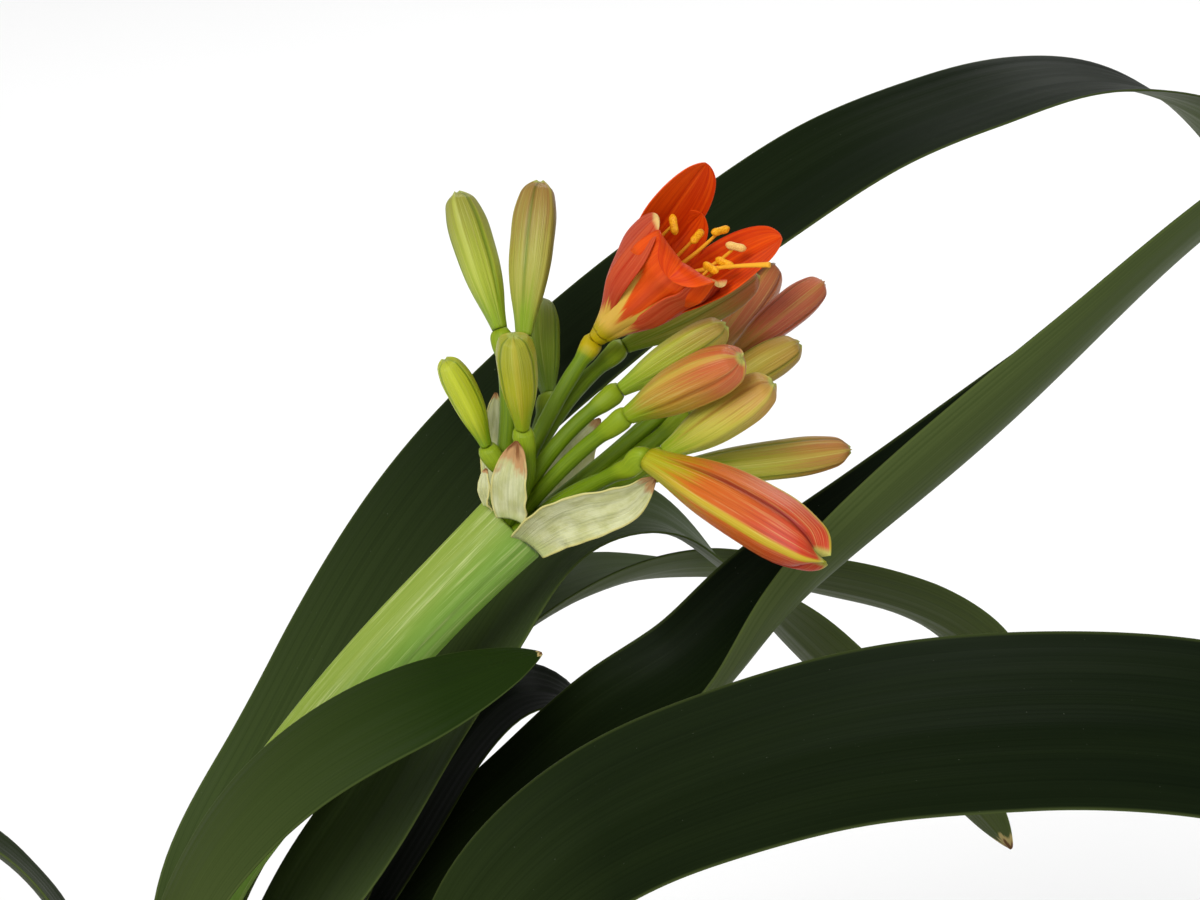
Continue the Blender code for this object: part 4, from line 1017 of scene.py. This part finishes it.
def petal(body, turn, reach, spread, width, curl, cup, lift, narrow, cream, gold):
    out = math.cos(turn) * FLOWER_UP + math.sin(turn) * FLOWER_NEAR
    level = np.cross(FLOWER_AXIS, out)
    line = [(2.5, 2.8), (8.0, 5.0), (17.0, 8.2 + lift), (28.0, 10.6 + lift),
            (0.8 * reach, 5.4 + 0.5 * (spread + lift)), (reach, spread)]
    if curl > 0.0:
        line.append((reach - 0.1 * curl, spread + 0.7 * curl))
        line.append((reach - 0.8 * curl, spread + curl))
    points = [(*(FLOWER_BASE + FLOWER_AXIS * a + out * r), 0.0) for a, r in line]
    fine = smooth_line(points)
    total = fine[2][-1]
    share = crowd_tip(0.3, PETAL_ROWS, PETAL_TIP_ROWS, 1.7)
    stations, facing = read_line(*fine, share * total)
    grow = 0.34 + 0.66 * ease(share / 0.68)
    tip = np.clip(1.0 - np.clip((share - 0.66) / 0.34, 0.0, 1.0) ** 2.2, 0.0, 1.0) ** 0.58
    half = 0.5 * width * grow * tip + 0.5 - 0.35 * ease((share - 0.94) / 0.06)
    angle = 0.95 * (1.0 - ease(share / 0.75)) + cup * (1.0 - 0.5 * share)
    levels = np.tile(level, (len(share), 1))
    v = across_places(PETAL_ACROSS)
    grid = strip_grid(stations, facing, levels, half, angle, v)
    shape = (len(share), len(v))
    seed = 20.0 + turn
    wave = ripple(share[:, None] * 5.0, 2.0 * np.sign(v)[None, :], seed)
    free = ease((share - 0.2) / 0.3)[:, None] * np.clip(half / 5.0, 0.0, 1.0)[:, None]
    groove = -0.28 * np.exp(-(v / 0.07) ** 2) - 0.25 * np.exp(-(v / 0.3) ** 2)
    relief = free * (groove[None, :] + 0.5 * wave * (np.abs(v) ** 3)[None, :])
    thick = np.broadcast_to(PETAL_THICK * (0.62 + 0.38 * (1.0 - v * v)), shape)
    grain = grid_of(shape, v, seed, share[:, None] * total / 10.0)
    gold = GOLD_BASE + gold * np.exp(-((np.abs(v) - GOLD_AT) / GOLD_WIDE) ** 2)
    body.strip(grid, relief, thick, grain, reach=share[:, None], rib=np.exp(-(v / 0.14) ** 2),
               gold=gold, narrow=narrow, cream=cream)


PETALS = [
    ("upper", -40, 50.5, 15.5, 17.5, 0.0, 0.42, 0.0, 0, 0, 0.20),
    ("right", -150, 52, 16.5, 21, 0.0, 0.42, 0.0, 0, 0, 0.20),
    ("front", 98, 38.5, 12.5, 21, 4.5, 0.62, 0.0, 0, 0, 0.42),
    ("left", 40, 40, 13, 13.5, 0.0, 0.5, 1.8, 1, 1, 0.10),
    ("lower", 150, 38.5, 13, 13, 0.9, 0.5, 1.0, 1, 1, 0.10),
    ("back", -72, 39, 13, 13, 0.0, 0.42, 0.0, 0, 0, 0.10),
]
bloom = Body()
tube_line = [in_flower(along) for along in TUBE_AT]
tube(bloom, tube_line, TUBE_RADII, 30, 48,
     side=0.0, narrow=0.0, cream=0.0, rib=0.0, gold=0.3, reach=lambda s: 0.2 * s)
for label, degrees, *form in PETALS:
    petal(bloom, math.radians(degrees), *form)
add_piece("flower_fine", bloom.mesh("flower_fine"), petal_look(), "flower")

THROAT = TUBE_AT[-1] + GAP
THREAD_FOOT = THROAT + 0.9
HUB_RADII = (1.9, 1.8, 1.5)
THREAD_RADII = (0.62, 0.58, 0.5, 0.34)
ANTHER_STEPS = (-2.6, -2.0, -1.0, 0.0, 1.0, 2.0, 2.6)
ANTHER_RADII = (0.3, 0.82, 1.0, 0.94, 1.0, 0.82, 0.3)
STYLE_RADII = (0.7, 0.6, 0.55, 0.5, 0.72)
PALE_ANTHER = 3
STAMEN_TIPS = [
    (36, 6.5, -3), (37, 0.5, -5.5), (43, -2.5, -5), (44, -8, -3), (41, -9, 1.5), (39, -7.5, 5),
]
threads = Body()
hub = [in_flower(along) for along in (THROAT, THREAD_FOOT, THROAT + 1.8)]
tube(threads, hub, HUB_RADII, 10, 32, anther=0.0, pale=0.0, reach=0.0)
for number, (along, up, near) in enumerate(STAMEN_TIPS):
    side = FLOWER_UP * up + FLOWER_NEAR * near
    start = in_flower(THREAD_FOOT) + unit(side) * 0.7
    tip = in_flower(along) + side
    route = [start, start + FLOWER_AXIS * 0.3 * along + side * 0.3, tip - FLOWER_AXIS * 8.0 - side * 0.1, tip]
    tube(threads, route, THREAD_RADII, 40, 12, anther=0.0, pale=0.0, reach=lambda s: s)
    lean = unit(FLOWER_AXIS * 0.4 + unit(side) * 0.8)
    anther = [tip + lean * step for step in ANTHER_STEPS]
    tube(threads, anther, ANTHER_RADII, 26, 24,
         lobe=lambda s: 0.0 * s + 0.09, anther=1.0, pale=1.0 if number == PALE_ANTHER else 0.0, reach=0.5)
STYLE_ROUTE = [(THREAD_FOOT, 0, 0), (25, -2.0, 0.5), (37, -7, 3.5), (46, -12.5, 6), (52, -17, 7)]
style = [in_flower(*row) for row in STYLE_ROUTE]
tube(threads, style, STYLE_RADII, 60, 14, anther=0.0, pale=0.0, reach=1.0)
add_piece("stamens_fine", threads.mesh("stamens_fine"), stamen_look(), "stamens")


# Bracts

BRACTS = [
    ("bract_near", (0.05, -0.96, -0.15), 13.5, 30, 0.10, [
        (88.2, 11.2, 350.3), (94.5, 7, 356.6), (100.4, 4.2, 360.4), (106.5, 2, 363), (112, 1.5, 365),
        (116, 2.6, 367.6), (119.6, 5, 370)]),
    ("bract_upright", (-0.4, -0.9, 0.1), 9.5, 30, 0.34, [
        (84.3, 10.6, 357), (84.2, 8.5, 364.4), (84.8, 7.5, 371.4), (85.7, 9, 378)]),
    ("bract_left", (-0.35, -0.93, 0.0), 6.5, 20, 0.05, [
        (81.5, 25.6, 351), (80, 28.4, 361), (79.6, 30.6, 371), (80, 33.5, 382)]),
    ("bract_small", (-0.8, -0.5, 0.0), 4.5, 20, 0.10, [(78.6, 13.4, 359), (77.6, 12.8, 364), (78, 14, 369)]),
    ("bract_far", (0.2, 0.9, -0.2), 11.0, 35, 0.10, [
        (93, 29, 351), (96, 37, 356), (100, 43, 363), (106, 48, 370)]),
]
paper = bract_look()
for number, (name, outward, width, trough, dry, route) in enumerate(BRACTS):
    fine = smooth_line([(*row, 0.0) for row in route])
    total = fine[2][-1]
    share = 1.0 - (1.0 - np.linspace(0.0, 1.0, BRACT_ROWS)) ** 1.4
    stations, facing = read_line(*fine, share * total)
    half = 0.5 * width * (BRACT_FOOT + (1.0 - BRACT_FOOT) * np.sin(math.pi * share) ** 0.7)
    half = half * np.clip(1.0 - share ** 4.0, 0.0, 1.0) ** 0.8 + 0.5 - 0.3 * ease((share - 0.9) / 0.1)
    half = half * (1.0 + 0.05 * ripple(share * 7.0, np.zeros(1), 40.0 + number))
    angle = np.full(len(share), math.radians(trough))
    levels = np.cross(np.asarray(outward, float), facing)
    v = across_places(BRACT_ACROSS)
    grid = strip_grid(stations, facing, levels, half, angle, v)
    shape = (len(share), len(v))
    crumple = ripple(share[:, None] * total / 5.0, v[None, :] * 2.0, 50.0 + number)
    wave = ripple(share[:, None] * total / 4.5, 2.0 * np.sign(v)[None, :], 60.0 + number)
    free = ease(share / 0.2)[:, None] * np.clip(half / 2.5, 0.0, 1.0)[:, None]
    relief = free * (0.55 * crumple + 0.8 * wave * (np.abs(v) ** 2)[None, :])
    grain = grid_of(shape, v, 3.0 * number, share[:, None] * total / 10.0)
    withered = np.clip((share - (1.0 - dry * 1.6)) / (dry * 1.6), 0.0, 1.0)[:, None]
    body = Body()
    body.strip(grid, relief, np.full(shape, BRACT_THICK), grain, reach=share[:, None], dry=withered,
               rim=np.abs(v))
    add_piece(name + "_fine", body.mesh(name + "_fine"), paper, name)


# Pot and soil

def rounded(profile, corner):
    """The profile with each inner corner replaced by a short arc."""
    points = [np.asarray(p, float) for p in profile]
    made = [points[0]]
    for before, here, after in zip(points, points[1:], points[2:]):
        back, ahead = before - here, after - here
        cut_r = min(corner, 0.45 * np.linalg.norm(back), 0.45 * np.linalg.norm(ahead))
        start, end = here + unit(back) * cut_r, here + unit(ahead) * cut_r
        for u in np.linspace(0.0, 1.0, 5):
            made.append((1 - u) ** 2 * start + 2 * u * (1 - u) * here + u * u * end)
    made.append(points[-1])
    return made


def turned_mesh(name, profile, segments):
    turn = turns(segments)
    inner = profile[1:-1]
    points = [(r * math.cos(t) * MM, r * math.sin(t) * MM, z * MM) for r, z in inner for t in turn]
    points += [(0.0, 0.0, profile[0][1] * MM), (0.0, 0.0, profile[-1][1] * MM)]
    return outward_mesh(name, points, closed_faces(len(inner), segments))


band_foot = POT_HEIGHT - POT_BAND
band_r = POT_TOP_R - 1.5 * POT_EDGE
rim_inner_r = POT_TOP_R - POT_WALL - POT_EDGE
inner_top_r = band_r - POT_BAND_STEP - POT_WALL
inner_base_r = POT_BASE_R - POT_WALL
pot_profile = [
    (0.0, 0.0), (POT_BASE_R - POT_EDGE, 0.0), (POT_BASE_R, POT_EDGE),
    (band_r - POT_BAND_STEP, band_foot), (band_r, band_foot),
    (band_r + 0.75 * POT_EDGE, band_foot + 0.75 * POT_EDGE), (POT_TOP_R, POT_HEIGHT - POT_EDGE),
    (POT_TOP_R - POT_EDGE, POT_HEIGHT), (rim_inner_r, POT_HEIGHT),
    (rim_inner_r - POT_EDGE, POT_HEIGHT - POT_EDGE), (inner_top_r, band_foot),
    (inner_base_r, POT_FLOOR + POT_EDGE), (inner_base_r - POT_EDGE, POT_FLOOR), (0.0, POT_FLOOR),
]
pot_mesh = turned_mesh("pot_fine", rounded(pot_profile, POT_CORNER), POT_SEGMENTS)
pot = add_piece("pot_fine", pot_mesh, clay_look(), "pot")
drills = bpy.data.meshes.new("drills")
work = bmesh.new()
for k in range(DRAIN_COUNT):
    turn = math.tau * (k + 0.5) / DRAIN_COUNT
    made = bmesh.ops.create_cone(work, cap_ends=True, segments=DRAIN_SIDES, radius1=DRAIN_R * MM,
                                 radius2=DRAIN_R * MM, depth=4.0 * POT_FLOOR * MM)
    shift = (DRAIN_RING_R * math.cos(turn) * MM, DRAIN_RING_R * math.sin(turn) * MM, 0.0)
    bmesh.ops.translate(work, verts=made["verts"], vec=shift)
work.to_mesh(drills)
work.free()
drill = new_object("drills", drills)
bore = pot.modifiers.new("bore", "BOOLEAN")
bore.operation = "DIFFERENCE"
bore.object = drill
bore.solver = "EXACT"
bpy.context.view_layer.update()
with bpy.context.temp_override(object=pot, active_object=pot):
    bpy.ops.object.modifier_apply(modifier=bore.name)
bpy.data.objects.remove(drill, do_unlink=True)
pot.data.polygons.foreach_set("use_smooth", [True] * len(pot.data.polygons))
pot.data.set_sharp_from_angle(angle=math.radians(POT_SHARP_ANGLE))


def soil():
    """Crumbly soil: an uneven turned top over a plain body, with lumps sunk in it."""
    clear = 1.5 * GAP
    climb = (SOIL_TOP - POT_EDGE - band_foot) / (POT_BAND - POT_EDGE)
    edge_r = inner_top_r + climb * (rim_inner_r - POT_EDGE - inner_top_r) - clear
    turn = turns(SOIL_AROUND)
    rows = [(2.0, POT_FLOOR + GAP), (inner_base_r - POT_EDGE - clear, POT_FLOOR + GAP),
            (inner_base_r - clear, POT_FLOOR + POT_EDGE + GAP), (inner_top_r - clear, band_foot),
            (edge_r, SOIL_TOP - POT_EDGE)]
    rings = [np.stack([r * np.cos(turn), r * np.sin(turn), np.full(SOIL_AROUND, z)], axis=1) for r, z in rows]
    for r in np.linspace(edge_r - 0.8, 1.0, SOIL_RINGS):
        rise = ease((edge_r - r) / 30.0)
        bump = ripple(r * np.cos(turn) / 9.0, r * np.sin(turn) / 9.0, 70.0)
        crumb = ripple(r * np.cos(turn) / 2.6, r * np.sin(turn) / 2.6, 80.0)
        z = SOIL_TOP - 1.4 + 2.0 * rise + 1.1 * bump + 0.8 * crumb
        rings.append(np.stack([r * np.cos(turn), r * np.sin(turn), z], axis=1))
    body = Body()
    rings = np.array(rings)
    body.rings(rings, rings / 10.0, bark=0.0, perlite=0.0)
    rng = np.random.default_rng(7)
    sphere = bmesh.new()
    bmesh.ops.create_icosphere(sphere, subdivisions=2, radius=1.0)
    ball = np.array([v.co for v in sphere.verts])
    ball_faces = [[v.index for v in f.verts] for f in sphere.faces]
    sphere.free()
    for k in range(SOIL_LUMPS):
        r = math.sqrt(rng.uniform(30.0 ** 2, (edge_r - 4.0) ** 2))
        t = rng.uniform(0.0, math.tau)
        pick = rng.uniform()
        big = rng.uniform(1.0, 2.4)
        stretch = np.array([1.0, 1.0, 0.75])
        if pick < BARK_BELOW:
            stretch = np.array([rng.uniform(1.4, 2.4), 0.9, 0.45])
        yaw = rng.uniform(0.0, math.tau)
        rough = np.array([noise.noise(Vector(p) * 1.6 + Vector((k, 0.0, 0.0))) for p in ball.tolist()])
        shape = ball * (1.0 + 0.3 * rough)[:, None] * stretch * big
        turned = np.stack([shape[:, 0] * math.cos(yaw) - shape[:, 1] * math.sin(yaw),
                           shape[:, 0] * math.sin(yaw) + shape[:, 1] * math.cos(yaw), shape[:, 2]], axis=1)
        level = SOIL_TOP - 1.2 + 2.0 * float(ease((edge_r - r) / 30.0))
        place = np.array([r * math.cos(t), r * math.sin(t), level + 0.1 * big])
        body.add(turned + place, ball_faces, turned / 10.0 + k,
                 bark=1.0 if pick < BARK_BELOW else 0.0, perlite=1.0 if pick > PERLITE_ABOVE else 0.0)
    return add_piece("soil_fine", body.mesh("soil_fine"), soil_look(), "soil")


soil()
